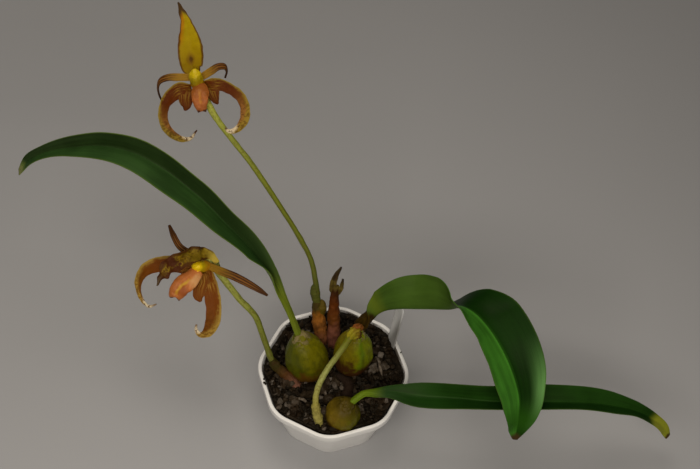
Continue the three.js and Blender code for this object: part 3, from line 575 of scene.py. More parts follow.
class Shader:
    """A material built up node by node round one Principled shader."""

    def __init__(self, name, roughness, specular, coat=0.0, glow=0.0):
        self.material = bpy.data.materials.new(name)
        self.material.use_nodes = True
        self.tree = self.material.node_tree
        self.surface = self.tree.nodes["Principled BSDF"]
        settings = {
            "Roughness": roughness,
            "Specular IOR Level": specular,
            "Specular Tint": (1.0, 0.93, 0.78, 1.0),
            "Coat Weight": coat,
            "Coat Roughness": 0.3,
            "Subsurface Weight": glow,
            "Subsurface Radius": (0.0016, 0.001, 0.0003),
        }
        for key, value in settings.items():
            self.surface.inputs[key].default_value = value
        self.colour = None

    def add(self, kind, **settings):
        node = self.tree.nodes.new(kind)
        for key, value in settings.items():
            setattr(node, key, value)
        return node

    def feed(self, socket, value):
        if isinstance(value, Field):
            self.tree.links.new(value.socket, socket)
        elif isinstance(value, tuple) and socket.type == "RGBA":
            socket.default_value = (*value, 1.0)
        else:
            socket.default_value = value

    def attribute(self, *names):
        """The mesh's own fields, such as how far along the piece a point lies."""
        nodes = [self.add("ShaderNodeAttribute", attribute_name=name) for name in names]
        fields = [Field(self, node.outputs["Fac"]) for node in nodes]
        return fields if len(fields) > 1 else fields[0]

    def texture(self, kind, scale, place):
        node = self.add(kind)
        node.inputs["Scale"].default_value = scale
        self.tree.links.new(place, node.inputs["Vector"])
        return node

    def noise(self, scale, detail, place=None):
        """Soft noise over the object in metres, or over another place."""
        place = place or self.add("ShaderNodeTexCoord").outputs["Object"]
        node = self.texture("ShaderNodeTexNoise", scale, place)
        node.inputs["Detail"].default_value = detail
        return Field(self, node.outputs["Fac"])

    def streaks(self, along, across, detail=3.0):
        """Soft noise over two fields, each times its own scale."""
        joint = self.add("ShaderNodeCombineXYZ")
        self.feed(joint.inputs[0], along)
        self.feed(joint.inputs[1], across)
        return self.noise(1.0, detail, joint.outputs[0])

    def dots(self, scale, low, high):
        """Round dots, `scale` of them to a metre: 1 inside, 0 outside."""
        place = self.add("ShaderNodeTexCoord").outputs["Object"]
        node = self.texture("ShaderNodeTexVoronoi", scale, place)
        return 1.0 - Field(self, node.outputs["Distance"]).step(low, high)

    def mix(self, share, a, b):
        node = self.add("ShaderNodeMix", data_type="RGBA")
        for place, value in ((0, share), (6, a), (7, b)):
            self.feed(node.inputs[place], value)
        return Field(self, node.outputs[2])

    def paint(self, share, colour):
        """Covers the colour so far with another one, as thickly as `share` says."""
        self.colour = self.mix(share, self.colour, colour)

    def finish(self, relief, depth=0.0003, roughness=None):
        """The material with its colour, its relief as bumps of `depth` metres and its roughness."""
        self.feed(self.surface.inputs["Base Color"], self.colour)
        node = self.add("ShaderNodeBump")
        self.feed(node.inputs["Height"], relief)
        node.inputs["Distance"].default_value = depth
        node.inputs["Strength"].default_value = 0.6
        self.tree.links.new(node.outputs[0], self.surface.inputs["Normal"])
        if roughness is not None:
            self.feed(self.surface.inputs["Roughness"], roughness)
        return self.material


def shaded(colour, factor):
    return tuple(c * factor for c in colour)


def leaf_material(
    name, near, far, under, foot, tip, end, foot_end, tip_start,
    lit_side=1.0, patches=(), gleam=None, sheen=0.12,
):
    """Dark green above with a groove down the middle, olive below, fine veins and painted light and shade.
    """
    s = Shader(name, 0.45, sheen)
    along, across, upper = s.attribute("along", "across", "upper")
    veins = s.streaks(along * 3.0, across * 38.0, 2.0)
    bands, cloud = s.streaks(along * 5.0, across * 5.0), s.noise(55.0, 4.0)
    tone = (bands * 0.6 + cloud * 0.6 + veins * 0.25).step(0.5, 0.95)
    groove = 1.0 - abs(across).step(0.015, 0.06)
    below = s.mix(tone, shaded(under, 0.8), shaded(under, 1.2))
    below = s.mix(groove * 0.5, below, shaded(under, 1.4))
    # Painted light and shade: the far half gets a shaded copy of its green, the half on lit_side a lit copy.
    s.colour = s.mix(tone, shaded(far, 0.75), shaded(far, 1.25))
    lit = s.mix(tone, shaded(near, 0.72), shaded(near, 1.3))
    s.paint((across * lit_side).step(-0.08, 0.08), lit)
    # Painted shade down the groove.
    s.paint(groove * 0.55, shaded(far, 0.45))
    # Painted sheen: a pale streak beside the groove on the lit half.
    beside = 1.0 - abs(across - 0.1 * lit_side).step(0.02, 0.1)
    s.paint(beside * along.band(0.26, 0.55, 0.08) * 0.4, shaded(near, 1.8))
    # gleam: a painted sheen on the shaded half, round one place along the leaf.
    if gleam:
        middle, half, shade = gleam
        bright = along.near(middle, half) * (across * -lit_side).step(0.4, 0.95)
        s.paint(bright * 0.8, s.mix(bands.step(0.3, 0.7), shade, shaded(shade, 0.7)))
    s.colour = s.mix(upper, below, s.colour)
    s.paint(abs(across).step(0.95, 0.99) * 0.5, shaded(under, 1.1))
    for middle, half, strength, shade in patches:
        s.paint(along.near(middle, half) * strength, shade)
    start = 1.0 - (along + cloud * 0.04).step(*foot_end)
    s.paint(start, s.mix(bands.step(0.35, 0.65), foot, shaded(foot, 0.6)))
    ragged = along + (cloud - 0.5) * 0.05 - abs(across) * 0.01
    s.paint(ragged.step(tip_start, tip_start + 0.05), tip)
    s.paint(ragged.step(0.965, 0.985), end)
    return s.finish(veins + cloud, 0.00016, cloud * 0.16 + 0.36)


def bulb_material(name, foot, left, right, crown, streak=None, foot_end=0.33, dusk=0.0):
    """Waxy mottled skin: brown patches at the foot, crumbly scars round the neck."""
    s = Shader(name, 0.45, 0.14, 0.03, 0.06)
    along, side, around = s.attribute("along", "side", "around")
    patches, spots, grain = s.noise(120.0, 4.0), s.noise(330.0, 3.0), s.noise(1100.0, 2.0)
    fibres = s.streaks(around * 60.0, along * 6.0)
    s.colour = s.mix((side + (patches - 0.5) * 1.6).step(-0.5, 0.6), left, right)
    if streak:
        place, shade = streak
        s.paint((side + (patches - 0.5) * 0.4).near(place, 0.14) * 0.8, shade)
    s.paint((spots + fibres * 0.4).step(0.6, 0.85) * 0.4, shaded(left, 0.5))
    low = along + (patches - 0.5) * 0.7 + (spots - 0.5) * 0.25
    s.paint(1.0 - low.step(foot_end - 0.09, foot_end + 0.09), foot)
    s.paint(along.step(0.6, 0.86) * dusk, crown)
    scars = along.step(0.86, 0.94) * (spots + (patches - 0.5) * 0.8).step(0.5, 0.6)
    s.paint(scars * 0.7, crown)
    s.paint(s.dots(480.0, 0.1, 0.2) * 0.35, shaded(foot, 0.5))
    return s.finish(fibres * 0.6 + grain * 0.3 + scars * 1.2, 0.0005, patches * 0.25 + 0.32)


def stalk_material(name, low, middle, high):
    """Satin stalk that changes colour on its way to the flower, with fine flecks along it."""
    s = Shader(name, 0.5, 0.2)
    along, around = s.attribute("along", "around")
    streaks, grain = s.streaks(along * 30.0, around * 14.0), s.noise(800.0, 3.0)
    s.colour = along.ramp((0.15, low), (0.5, middle), (0.88, high))
    s.paint(streaks.step(0.45, 0.7) * 0.35, shaded(low, 0.7))
    s.paint((grain + streaks * 0.3).step(0.7, 0.8) * 0.5, FLECK_BROWN)
    return s.finish(streaks + grain, 0.0002)


def skin_material(name, stops, fibre=30.0, roughness=0.6, blotch=0.5, dark=DARK_BROWN):
    """Dry skin with dark blotches and long fibres. `stops` gives a colour for places along it."""
    s = Shader(name, roughness, 0.15)
    along, around = s.attribute("along", "around")
    fibres = s.streaks(along * 5.0, around * fibre)
    patches, grain = s.noise(190.0, 4.0), s.noise(600.0, 3.0)
    s.colour = (along + (patches - 0.5) * 0.35).ramp(*stops.items())
    s.paint((patches + grain * 0.35).step(0.66, 0.86) * blotch, dark)
    s.paint(fibres.step(0.56, 0.74) * 0.4, dark)
    return s.finish(fibres * 1.2 + patches, 0.0007)


def sepal_material(name, inner, outer, margin, tip, beyond, rays):
    """Lateral sepals: rust inside, gold along the outer edge and beyond, speckled, pale at the end."""
    s = Shader(name, 0.55, 0.1, 0.0, 0.06)
    along, across, hand = s.attribute("along", "across", "outer")
    streaks, grain = s.streaks(along * 14.0, across * 5.0), s.noise(700.0, 3.0)
    turn = hand * 0.5 + along * along * 1.9 + (streaks - 0.5) * 0.5 + (grain - 0.5) * 0.5
    s.colour = s.mix(along.step(0.3, 0.62), inner, beyond)
    s.paint(turn.step(0.42, 0.82), outer)
    fan = s.streaks(along * 9.0, across * 8.0).step(0.5, 0.62) * (1.0 - along.step(0.1, 0.26))
    s.paint(fan * rays, shaded(outer, 1.4))
    speckle = (grain + streaks * 0.25).step(0.56, 0.7) * along.step(0.3, 0.6)
    s.paint(speckle * 0.6, shaded(inner, 0.6))
    s.paint(hand.step(0.66, 0.97) * 0.6, margin)
    end = (along + (streaks - 0.5) * 0.1 - hand * 0.06).step(0.76, 0.84)
    flecked = s.mix((grain + streaks * 0.3).step(0.66, 0.78), tip, shaded(inner, 0.6))
    s.paint(end * 0.85, flecked)
    s.paint(along.step(0.93, 0.97) * 0.7, shaded(inner, 0.6))
    return s.finish(streaks + grain * 0.6, 0.0003)


def dorsal_material(name, body, low, flush, margin, tip, edge_from, tip_start):
    """Upper sepal of the upper flower: gold, with a thin dark margin, a dark tip and a brown eye."""
    s = Shader(name, 0.55, 0.1, 0.0, 0.08)
    along, across = s.attribute("along", "across")
    streaks, grain = s.streaks(along * 4.0, across * 9.0), s.noise(420.0, 3.0)
    s.colour = s.mix((streaks * 0.5 + along * 0.9 + across * 0.4).step(0.98, 1.25) * 0.9, body, flush)
    s.paint((1.0 - along.step(0.3, 0.72)) * 0.75, low)
    above, aside = along - 0.41, across - 0.06
    eye = above * above * 330.0 + aside * aside * 17.0 + (grain - 0.5) * 1.4
    s.paint((1.0 - eye.step(0.2, 4.0)) * 0.5, shaded(margin, 1.5))
    s.paint((1.0 - eye.step(0.1, 1.0)) * 0.8, shaded(margin, 0.7))
    edge = abs(across) + (grain - 0.5) * 0.12
    s.paint(edge.step(edge_from, edge_from + 0.12) * 0.85, margin)
    s.paint((along + abs(across) * 0.05).step(tip_start, tip_start + 0.08), tip)
    return s.finish(streaks + grain * 0.5, 0.0003)


def hood_material(name, gold, olive, maroon, tip):
    """Upper sepal of the lower flower: crumpled, gold at its foot, then olive, and maroon beyond."""
    s = Shader(name, 0.55, 0.12, 0.0, 0.05)
    along, across = s.attribute("along", "across")
    folds, grain = s.noise(150.0, 3.0), s.noise(500.0, 3.0)
    s.colour = (along + (folds - 0.5) * 0.2).ramp(
        (0.12, gold), (0.28, shaded(olive, 1.3)), (0.36, olive), (0.48, shaded(olive, 0.75)),
        (0.6, maroon), (0.86, maroon), (0.95, tip),
    )
    patch = (folds + (grain - 0.5) * 0.5).step(0.5, 0.6) * along.band(0.3, 0.8)
    s.paint(patch * 0.75, shaded(olive, 1.4))
    crack = (grain + (folds - 0.5) * 0.6).step(0.54, 0.62) * along.band(0.25, 0.9, 0.08)
    s.paint(crack * 0.6, shaded(maroon, 0.6))
    edge = (abs(across) + (folds - 0.5) * 0.7).step(0.6, 0.85) * along.step(0.12, 0.25)
    s.paint(edge * 0.85, maroon)
    return s.finish(folds + grain * 0.6, 0.0008)


def petal_material(name, foot, light, dark):
    """Petals: gold at the foot, then brown with fine stripes and dark edges."""
    s = Shader(name, 0.55, 0.12)
    along, across = s.attribute("along", "across")
    wander = s.streaks(along * 6.0, across * 2.0, 2.0)
    stripes = (across * 9.0 + wander * 4.0).sine() * 0.5 + 0.5
    s.colour = s.mix(stripes.step(0.25, 0.75), dark, light)
    middle = (1.0 - abs(across + 0.1).step(0.05, 0.3)) * (1.0 - along.step(0.6, 0.85))
    s.paint(middle * 0.6, shaded(light, 1.5))
    s.paint(abs(across).step(0.6, 0.95) * 0.75, dark)
    s.colour = s.mix((along + (wander - 0.5) * 0.3).step(0.12, 0.42), foot, s.colour)
    s.paint(along.step(0.55, 0.85) * 0.6, shaded(dark, 0.7))
    return s.finish(stripes, 0.0002)


def lip_material(name, body, low, furrow, crease=None):
    """Waxy tongue: salmon with fine stripes, a yellow furrow and two dark warts at its end."""
    s = Shader(name, 0.45, 0.2, 0.05, 0.1)
    along, across, upper = s.attribute("along", "across", "upper")
    grain, stripes = s.noise(500.0, 3.0), s.streaks(along * 4.0, across * 9.0, 2.0)
    s.colour = s.mix((along + (stripes - 0.5) * 0.9).step(0.25, 0.7), body, low)
    valley = (1.0 - abs(across + (grain - 0.5) * 0.2).step(0.06, 0.26)) * along.band(0.25, 0.72)
    s.paint(valley * upper * 0.75, furrow)
    # crease: a painted highlight near the column and painted shade further down, on one side of the lip.
    if crease:
        light, dim = crease
        aside = (across + (grain - 0.5) * 0.3).step(-0.1, 0.3)
        s.paint(along.band(0.06, 0.3, 0.08) * aside * 0.9, light)
        s.paint(along.band(0.42, 0.68, 0.08) * aside * 0.8, dim)
    corner = along.step(0.86, 0.95) * abs(across).step(0.2, 0.4)
    s.paint((corner + (grain - 0.5) * 0.5).step(0.3, 0.7) * 0.85, WART_BROWN)
    return s.finish(stripes + grain)


def column_material(name, deep, bright):
    s = Shader(name, 0.42, 0.25, 0.08, 0.1)
    along, grain = s.attribute("along"), s.noise(500.0, 3.0)
    height = along + (grain - 0.5) * 0.3
    s.colour = height.ramp(
        (0.2, deep), (0.42, shaded(bright, 0.6)), (0.6, bright), (0.95, shaded(bright, 1.1))
    )
    return s.finish(grain, 0.0004)


def bark_material():
    """Damp bark: each chip has its own shade, paler where it is broken."""
    s = Shader("bark", 0.5, 0.14)
    shade, patches, grain = s.attribute("shade"), s.noise(330.0, 5.0), s.noise(1500.0, 3.0)
    s.colour = (shade * 0.7 + patches * 0.5).ramp(
        (0.25, (0.006, 0.004, 0.002)),
        (0.5, (0.014, 0.0085, 0.004)),
        (0.75, (0.034, 0.023, 0.013)),
        (1.0, (0.13, 0.11, 0.09)),
    )
    s.paint(s.noise(70.0, 2.0).step(0.52, 0.7) * 0.5, shaded((0.05, 0.028, 0.013), 0.7))
    return s.finish(patches + grain * 0.6, 0.0009)


def label_material():
    """Dull white plastic, with painted shade low down on one side."""
    s = Shader("label_white", 0.5, 0.15)
    height, side = s.attribute("height", "side")
    patches = s.noise(200.0, 4.0)
    s.colour = s.mix(patches.step(0.35, 0.7), (0.84, 0.85, 0.86), (0.76, 0.77, 0.78))
    # Painted shade: grey-brown over the lower part, reaching higher on one side.
    low = 1.0 - (height + side * 0.3 + (patches - 0.5) * 0.2).step(0.3, 0.75)
    s.paint(low * 0.75, (0.2, 0.19, 0.17))
    return s.finish(patches)


def pot_material():
    """White plastic with faint moulding ripples, and soil stains inside the rim."""
    s = Shader("white_plastic", 0.4, 0.3)
    inside, patches, grain = s.attribute("inside"), s.noise(90.0, 5.0), s.noise(700.0, 3.0)
    s.colour = s.mix(patches.step(0.4, 0.75), (0.87, 0.865, 0.855), (0.82, 0.815, 0.8))
    s.paint(inside * (patches + grain * 0.35).step(0.5, 0.8) * 0.85, (0.12, 0.085, 0.05))
    return s.finish(patches * 1.5 + grain * 0.15, 0.0003, patches * 0.2 + 0.3)


def plain_material(name, body, variation, roughness, size):
    """One colour that varies softly between `body` and `variation`."""
    s = Shader(name, roughness, 0.15)
    patches = s.noise(size, 4.0)
    s.colour = s.mix(patches.step(0.35, 0.7), body, variation)
    return s.finish(patches)


# Pot, mix and label


def octagon(inradius, z, steps=14):
    """The pot's outline at one level: a turned octagon with rounded corners."""
    rounding = inradius * POT["rounding"]
    reach = (inradius - rounding) / math.cos(math.radians(22.5))
    towards = np.radians(POT["turn"] - 90 + 45 * np.arange(8))[:, None]
    along = towards + np.radians(np.linspace(-22.5, 22.5, steps))
    x = reach * np.cos(towards) + rounding * np.cos(along)
    y = reach * np.sin(towards) + rounding * np.sin(along)
    return np.stack([x.ravel(), y.ravel(), np.full(x.size, z)], 1)


def wall_at(z):
    low, high = POT["base_across_flats"] / 2, POT["across_flats"] / 2 - POT["overhang"]
    return low + (high - low) * z / POT["height"]


def rounded(inradius, z, radius, start, end, steps=6):
    """Levels of a rounded edge: pairs of inradius and height round a centre."""
    angles = np.radians(np.linspace(start, end, steps))
    return [(inradius + radius * math.cos(a), z + radius * math.sin(a)) for a in angles]


def build_pot(material):
    height, wall, base = POT["height"], POT["wall"], POT["floor"]
    rim, under, r = POT["across_flats"] / 2, POT["height"] - POT["lip_height"], POT["lip_round"]
    inner, foot = rim - POT["lip_width"], POT["foot_round"]
    outside = [
        *rounded(wall_at(foot) - foot, foot, foot, -88, 0, 7),
        *[(wall_at(z), z) for z in np.linspace(foot, under - 0.6, 12)],
        (wall_at(under) + 0.15, under - 0.1),
        (rim - r, under),
        *rounded(rim - r / 2, under + r / 2, r / 2, -90, 0),
        *rounded(rim - r, height - r, r, 0, 90),
        *rounded(inner + r, height - r, r, 90, 150, 5),
    ]
    within = [
        (inner, height - r),
        *[(wall_at(z) - wall, z) for z in np.linspace(under - r, base + 1, 12)],
        *rounded(wall_at(base) - wall - 1, base + 1, 1, 0, -90),
    ]
    rings = np.array([octagon(inradius, z) for inradius, z in outside + within])
    inside = np.repeat([0.0] * len(outside) + [1.0] * len(within), rings.shape[1])
    shell = Part(*closed_rings(rings), inside=[*inside, 0.0, 1.0])
    drill_holes(piece("pot_shell", shell, material, ["pot"]))


def drill_holes(made):
    """Cuts the drain holes out of the pot's floor."""
    cutter = bmesh.new()
    for k in range(POT["drain_count"]):
        angle = 2 * math.pi * (k + 0.5) / POT["drain_count"]
        centre = Vector((math.cos(angle), math.sin(angle), 0)) * POT["drain_circle"] * MM
        radius = POT["drain_radius"] * MM
        bmesh.ops.create_cone(
            cutter, cap_ends=True, segments=40, radius1=radius, radius2=radius,
            depth=POT["floor"] * 4 * MM, matrix=Matrix.Translation(centre),
        )
    drill_mesh = bpy.data.meshes.new("drill")
    cutter.to_mesh(drill_mesh)
    cutter.free()
    drill = add_object("drill", drill_mesh)
    cut = made.modifiers.new("drain_holes", "BOOLEAN")
    cut.operation, cut.object, cut.solver = "DIFFERENCE", drill, "EXACT"
    evaluated = made.evaluated_get(bpy.context.evaluated_depsgraph_get())
    mesh = bpy.data.meshes.new_from_object(evaluated)
    made.modifiers.clear()
    made.data = mesh
    bpy.data.objects.remove(drill)


def random_from(seed):
    """The same repeatable random numbers as the solids use."""
    state = seed

    def draw():
        nonlocal state
        state = (state + 0x6D2B79F5) & 0xFFFFFFFF
        mixed = ((state ^ (state >> 15)) * (1 | state)) & 0xFFFFFFFF
        mixed ^= (mixed + (((mixed ^ (mixed >> 7)) * (61 | mixed)) & 0xFFFFFFFF)) & 0xFFFFFFFF
        return ((mixed ^ (mixed >> 14)) & 0xFFFFFFFF) / 2**32

    return draw


def mix_level(distance):
    return MIX["edge_level"] + MIX["mound"] * (1 - min(1, distance / BARK["reach"]) ** 2)


def fine_level(x, y, inside):
    """Level of the fine mix, which is heaped up against the wall."""
    distance = math.hypot(x, y)
    from_flat = (math.atan2(y, x) - math.radians(POT["turn"])) % (math.pi / 4) - math.pi / 8
    share = distance * math.cos(from_flat) / inside
    return mix_level(distance) + CRUMBS["bank"] * smooth(0.78, 0.98, share), share


def chip_shape(level):
    """Points on a unit ball and its faces."""
    ball = bmesh.new()
    bmesh.ops.create_icosphere(ball, subdivisions=level, radius=1)
    ball.verts.ensure_lookup_table()
    points = np.array([v.co[:] for v in ball.verts])
    faces = [tuple(v.index for v in f.verts) for f in ball.faces]
    ball.free()
    return points, faces


def chip(shape, radius, squash, turn, centre, seed, shade):
    """One chip of bark: a ball with broken sides, with its own shade."""
    ball, faces = shape
    points = ball.copy()
    generator = np.random.default_rng(seed)
    for normal in unit(generator.normal(size=(8, 3))):
        reach = points @ normal
        points -= np.maximum(reach - generator.uniform(0.4, 0.8), 0)[:, None] * normal
    points = roughened(points, 0.2, 0.6, seed % 97) * radius * squash
    points = points @ np.array(turn.to_3x3()).T + centre
    return Part(points, faces, shade=np.full(len(points), shade))


def turned(z, y, x):
    """A turn about X, then about Y and then about Z, in radians."""
    return Matrix.Rotation(z, 4, "Z") @ Matrix.Rotation(y, 4, "Y") @ Matrix.Rotation(x, 4, "X")


def build_mix(material):
    random = random_from(SEED)
    for _ in range(MIX["rings"] * MIX["ring_points"]):
        random()
    inside = wall_at(MIX["edge_level"] - 1) - POT["wall"] - GAP
    rings = [octagon(inside * 0.999, MIX["edge_level"] - MIX["bed_depth"])]
    for share in np.linspace(1, 0.02, 40):
        ring = octagon(inside * share, 0)
        ring[:, 2] = [fine_level(x, y, inside)[0] - MIX["sunk"] for x, y in ring[:, :2]]
        rings.append(ring)
    points, faces = closed_rings(np.array(rings))
    edge = len(rings[0])
    points = np.vstack([points[:edge], roughened(points[edge:], 0.9, 1.6)])
    bed = Part(points, faces, shade=np.full(len(points), 0.1))
    piece("mix_bed", bed, material, ["potting_mix"], flat=True)
    piece("bark_coarse", coarse_bark(random), material, flat=True)
    piece("bark_fine", fine_bark(inside), material, flat=True)


def coarse_bark(random):
    """The bark pieces of the solids, each a ball with broken sides, set out in a spiral."""
    shape, parts = chip_shape(3), []
    golden = math.pi * (3 - math.sqrt(5))
    for k in range(BARK["count"]):
        radius = BARK["smallest"] + (BARK["largest"] - BARK["smallest"]) * random()
        distance = (BARK["reach"] - radius) * math.sqrt((k + 0.5) / BARK["count"])
        angle = k * golden + 0.3 * random()
        squash = np.array([1, 0.6 + 0.3 * random(), BARK["flatness"]])
        lean_x, lean_y = (math.radians(40 * (random() - 0.5)) for _ in range(2))
        turn = turned(2 * math.pi * random(), lean_y, lean_x)
        level = mix_level(distance) + BARK["lift"] * radius
        centre = np.array([distance * math.cos(angle), distance * math.sin(angle), level])
        parts.append(chip(shape, radius, squash, turn, centre, 100 + k, random()))
    return joined(parts)


def fine_bark(inside):
    """Crumbs on the rim and all over the bed."""
    shape, parts = chip_shape(2), []
    generator = np.random.default_rng(SEED)
    for x, y, size in RIM_CRUMBS:
        centre = np.array([x, y, POT["height"] + size * 0.3])
        parts.append(chip(shape, size, np.array([1, 0.8, 0.6]), turned(x, 0.2, 0.1), centre, 7, 0.3))
    while len(parts) < CRUMBS["count"]:
        x, y = generator.uniform(-inside, inside, 2)
        level, share = fine_level(x, y, inside)
        size = CRUMBS["smallest"] + (CRUMBS["largest"] - CRUMBS["smallest"]) * generator.random() ** 1.6
        if share * inside > inside - size * 0.7:
            continue
        squash = np.array([1, generator.uniform(0.55, 0.9), generator.uniform(0.4, 0.75)])
        turn = turned(generator.uniform(0, 6.28), generator.normal(0, 0.5), generator.normal(0, 0.6))
        centre = np.array([x, y, level + size * generator.uniform(-0.3, 0.4)])
        parts.append(chip(shape, size, squash, turn, centre, 1000 + len(parts), generator.random() ** 2.5))
    return joined(parts)


def build_label(material):
    """Plain tag: a thin plate with a pointed foot, round top corners and soft edges."""
    width, length, thickness, point = (LABEL[key] for key in ("width", "length", "thickness", "point"))
    corner = width / 4
    levels = [(0, point, 8), (point, length - corner, 30), (length - corner, length, 12)]
    columns, grid = 15, []
    shares = np.linspace(-1, 1, columns)
    heights = np.unique(np.concatenate([np.linspace(*level) for level in levels]))
    for h in heights:
        half = width / 2 * min(1, max(h, 0.15) / point)
        if h > length - corner:
            half -= corner - math.sqrt(max(0, corner**2 - (h - length + corner) ** 2))
        bow = LABEL["bow"] * math.sin(math.pi * h / length)
        grid.append([(half * s, -thickness / 2 - bow * (1 - s * s), h) for s in shares])
    grid = np.array(grid)
    points, faces = thickened(grid, np.full(grid.shape[:2], thickness / 2))
    place = Matrix.Translation(Vector(LABEL["foot"]) * MM) @ turned(
        math.radians(LABEL["turn"] + 90), 0, math.radians(LABEL["lean"])
    )
    tall, side = np.tile(np.repeat(heights / length, columns), 2), np.tile(shares, 2 * len(heights))
    plate = Part(points, faces, height=tall, side=side)
    piece("label", plate, material, ["plant_label"], place)


# Plant body


def build_bulb(name, form, material):
    foot, tip = np.array(form["foot"], float), np.array(form["tip"], float)
    ahead = unit(tip - foot)
    side = unit(np.cross([0.0, 1.0, 0.0], ahead))
    across = np.cross(ahead, side)
    profile = [[along, share, 0] for along, share in BULB_PROFILE]
    levels, sides = curve(profile, np.linspace(0, 1, 90)), 130
    angles = np.linspace(0, 2 * math.pi, sides, endpoint=False)
    rings = []
    for along, share, _ in levels:
        swell = math.sin(math.pi * min(1, max(0, along)))
        folds = RIDGES["depth"] * np.cos(RIDGES["count"] * angles)
        folds = folds + RIDGES["fine_depth"] * np.cos(RIDGES["fine_count"] * angles + 4 * along)
        reach = form["radius"] * share * (1 + swell * folds)
        rings.append(turned_ring(foot + (tip - foot) * along, reach, side, across, angles))
    along = np.array([*np.repeat(levels[:, 0], sides), 0.0, 1.0])
    around = [*np.tile(angles / (2 * math.pi), len(levels)), 0.0, 0.0]
    aside = [*np.tile(np.cos(angles), len(levels)), 0.0, 0.0]
    part = Part(*closed_rings(np.array(rings)), along=along, around=around, side=aside)
    crusty = smooth(0.82, 0.9, along) * (1 - smooth(0.97, 1.0, along))
    part.roughen(0.5, 8.0, len(name)).roughen(0.7, 1.9, 3.0, crusty)
    piece(f"bulb_{name}", part, material, [f"pseudobulb_{name}"])


def build_leaf(name, form, material):
    (end, petiole), change = form["petiole"], 0.08

    def depth(t, s):
        whole = petiole + (LEAF["blade"] - petiole) * smooth(end - change, end + change, t)
        rib = whole / 2 * (1 - np.abs(s) ** 1.6)
        return rib * (1 - 0.35 * smooth(end, end + change, t)) + LEAF["margin"] / 2 * np.ones_like(t * s)

    part = blade_part(form["stations"], 220, 41, depth, cup=-0.05, ripple=0.02, waves=6.0)
    stalk = 1 - smooth(end * 0.7, end * 1.2, part.values["along"])
    part.roughen(0.5, 26.0, len(name)).roughen(1, 2.4, 5.0, stalk * form["wrinkle"])
    piece(f"blade_{name}", part, material, [f"leaf_{name}"])


def noded(places, swell=0.09, width=0.012):
    """A stalk's shape with a low ring at each node."""

    def shape(t, angles):
        rings = sum(swell * math.exp(-(((t - place) / width) ** 2)) for place in places)
        return 1 + rings + 0.03 * np.cos(3 * angles + 9 * t)

    return shape


def overlapped(open_at, depth):
    """A sheath's shape: a step where its edge laps over, and faint ribs."""

    def shape(t, angles):
        lap = ((angles - open_at - 1.1 * t) % (2 * math.pi)) / (2 * math.pi)
        ribs = 0.025 * np.cos(11 * angles + 3 * t) + 0.04 * math.sin(17 * t) + 0.02 * math.sin(41 * t)
        return 1 + depth * (0.5 - lap) + ribs

    return shape


def build_tube(name, rows, material, steps, sides, shape, rough, lumps=3.0):
    part = tube_part(rows, steps, sides, shape).roughen(rough, lumps, len(name))
    piece(f"{name}_fine", part, material, [name])


def lens(thickness, margin=0.3):
    """Half thickness of a blade that thins towards its margin."""

    def depth(t, s):
        return thickness / 2 * (1 - np.abs(s) ** 2) + margin / 2 + 0 * t

    return depth


def build_shoot(material):
    """The young shoot with its forked tip: `along` runs on from its body into the two prongs."""
    body = tube_part(SHOOT, 110, 32, overlapped(2.2, 0.14)).roughen(0.5, 2.8)
    body.values["along"] *= 0.85
    parts = [body]
    for rows in PRONGS:
        prong = blade_part(rows, 40, 15, lens(1.7), top=facing((0, -1, 0))).roughen(0.25, 2.2)
        along = 0.75 + 0.25 * prong.values["along"]
        parts.append(prong.carrying(along=along, around=prong.values["across"]))
    piece("shoot", joined(parts), material, ["new_shoot"])


def build_withered(material):
    """A shrivelled bell with a folded crest and a flap: `along` tells them apart."""

    def creased(t, angles):
        return 1 + 0.1 * np.cos(5 * angles + 3 * t) + 0.06 * np.cos(9 * angles - 5 * t)

    parts = []
    for k, rows in enumerate(WITHERED):
        part = tube_part(rows, 50, 36, creased).roughen(0.7, 1.6, k)
        part.values["along"] = 0.33 * (k + part.values["along"] * 0.9)
        parts.append(part)
    piece("withered_petals", joined(parts), material, ["withered_flower"])


# Flowers


def build_column(flower, rows, material, place):
    """Short column with a cap and two teeth."""

    def shape(t, angles):
        cap = 0.1 * smooth(0.5, 0.65, t) * np.cos(2 * angles)
        return 1 + cap + 0.05 * np.cos(4 * angles) * math.sin(math.pi * t)

    body = tube_part(rows, 60, 40, shape).roughen(0.3, 1.8)
    parts = [body.carrying(along=body.values["along"])]
    tip, before = np.array(rows[3][:3], float), np.array(rows[2][:3], float)
    ahead = unit(tip - before)
    side = unit(np.cross(ahead, [0, 0, 1.0]))
    for sign in (-1, 1):
        root = before + sign * side * 2.2
        bend, end = root + sign * side * 0.6 + ahead * 1.2, root + sign * side + ahead * 2.4
        horn = tube_part([[*root, 1.3], [*bend, 0.9], [*end, 0.3]], 14, 14)
        parts.append(horn.carrying(along=0.7 + 0.2 * horn.values["along"]))
    piece(f"{flower}_column_fine", joined(parts), material, [f"{flower}_column"], place)


def sepal_part(rows, outer, thickness, seed, steps=110, **form):
    """A sepal or lobe. `outer` is 1 where its right side is the flower's outer one, otherwise -1."""
    part = blade_part(rows, steps, 21, lens(thickness, 0.35), **form).roughen(0.3, 3.0, seed)
    part.values["outer"] = part.values["across"] * outer
    return part


def build_lip(flower, rows, notch, material, place):
    """Thick tongue with a furrow down its face, rounded sides and a notched end."""

    def depth(t, s):
        body = THICK["lip"] / 2 * np.sqrt(np.maximum(0, 1 - np.abs(s) ** 2.4))
        furrow = 0.9 * np.exp(-((s / 0.22) ** 2)) * smooth(0.12, 0.35, t) * (1 - smooth(0.75, 0.95, t))
        round_end = np.sqrt(np.maximum(0, 1 - np.maximum(0, (t - 0.86) / 0.145) ** 2))
        return np.maximum(0.05, body * round_end - furrow * 0.5)

    part = blade_part(rows, 90, 33, depth, cup=-0.14, crease=0.3)
    back = unit(np.array(rows[-2][:3], float) - np.array(rows[-1][:3], float))
    share = notch * smooth(0.7, 1, part.values["along"]) * (1 - np.abs(part.values["across"])) ** 1.2
    part.points = part.points + share[:, None] * back
    part.roughen(0.35, 2.2, len(flower))
    piece(f"{flower}_lip_fine", part, material, [f"{flower}_lip"], place)


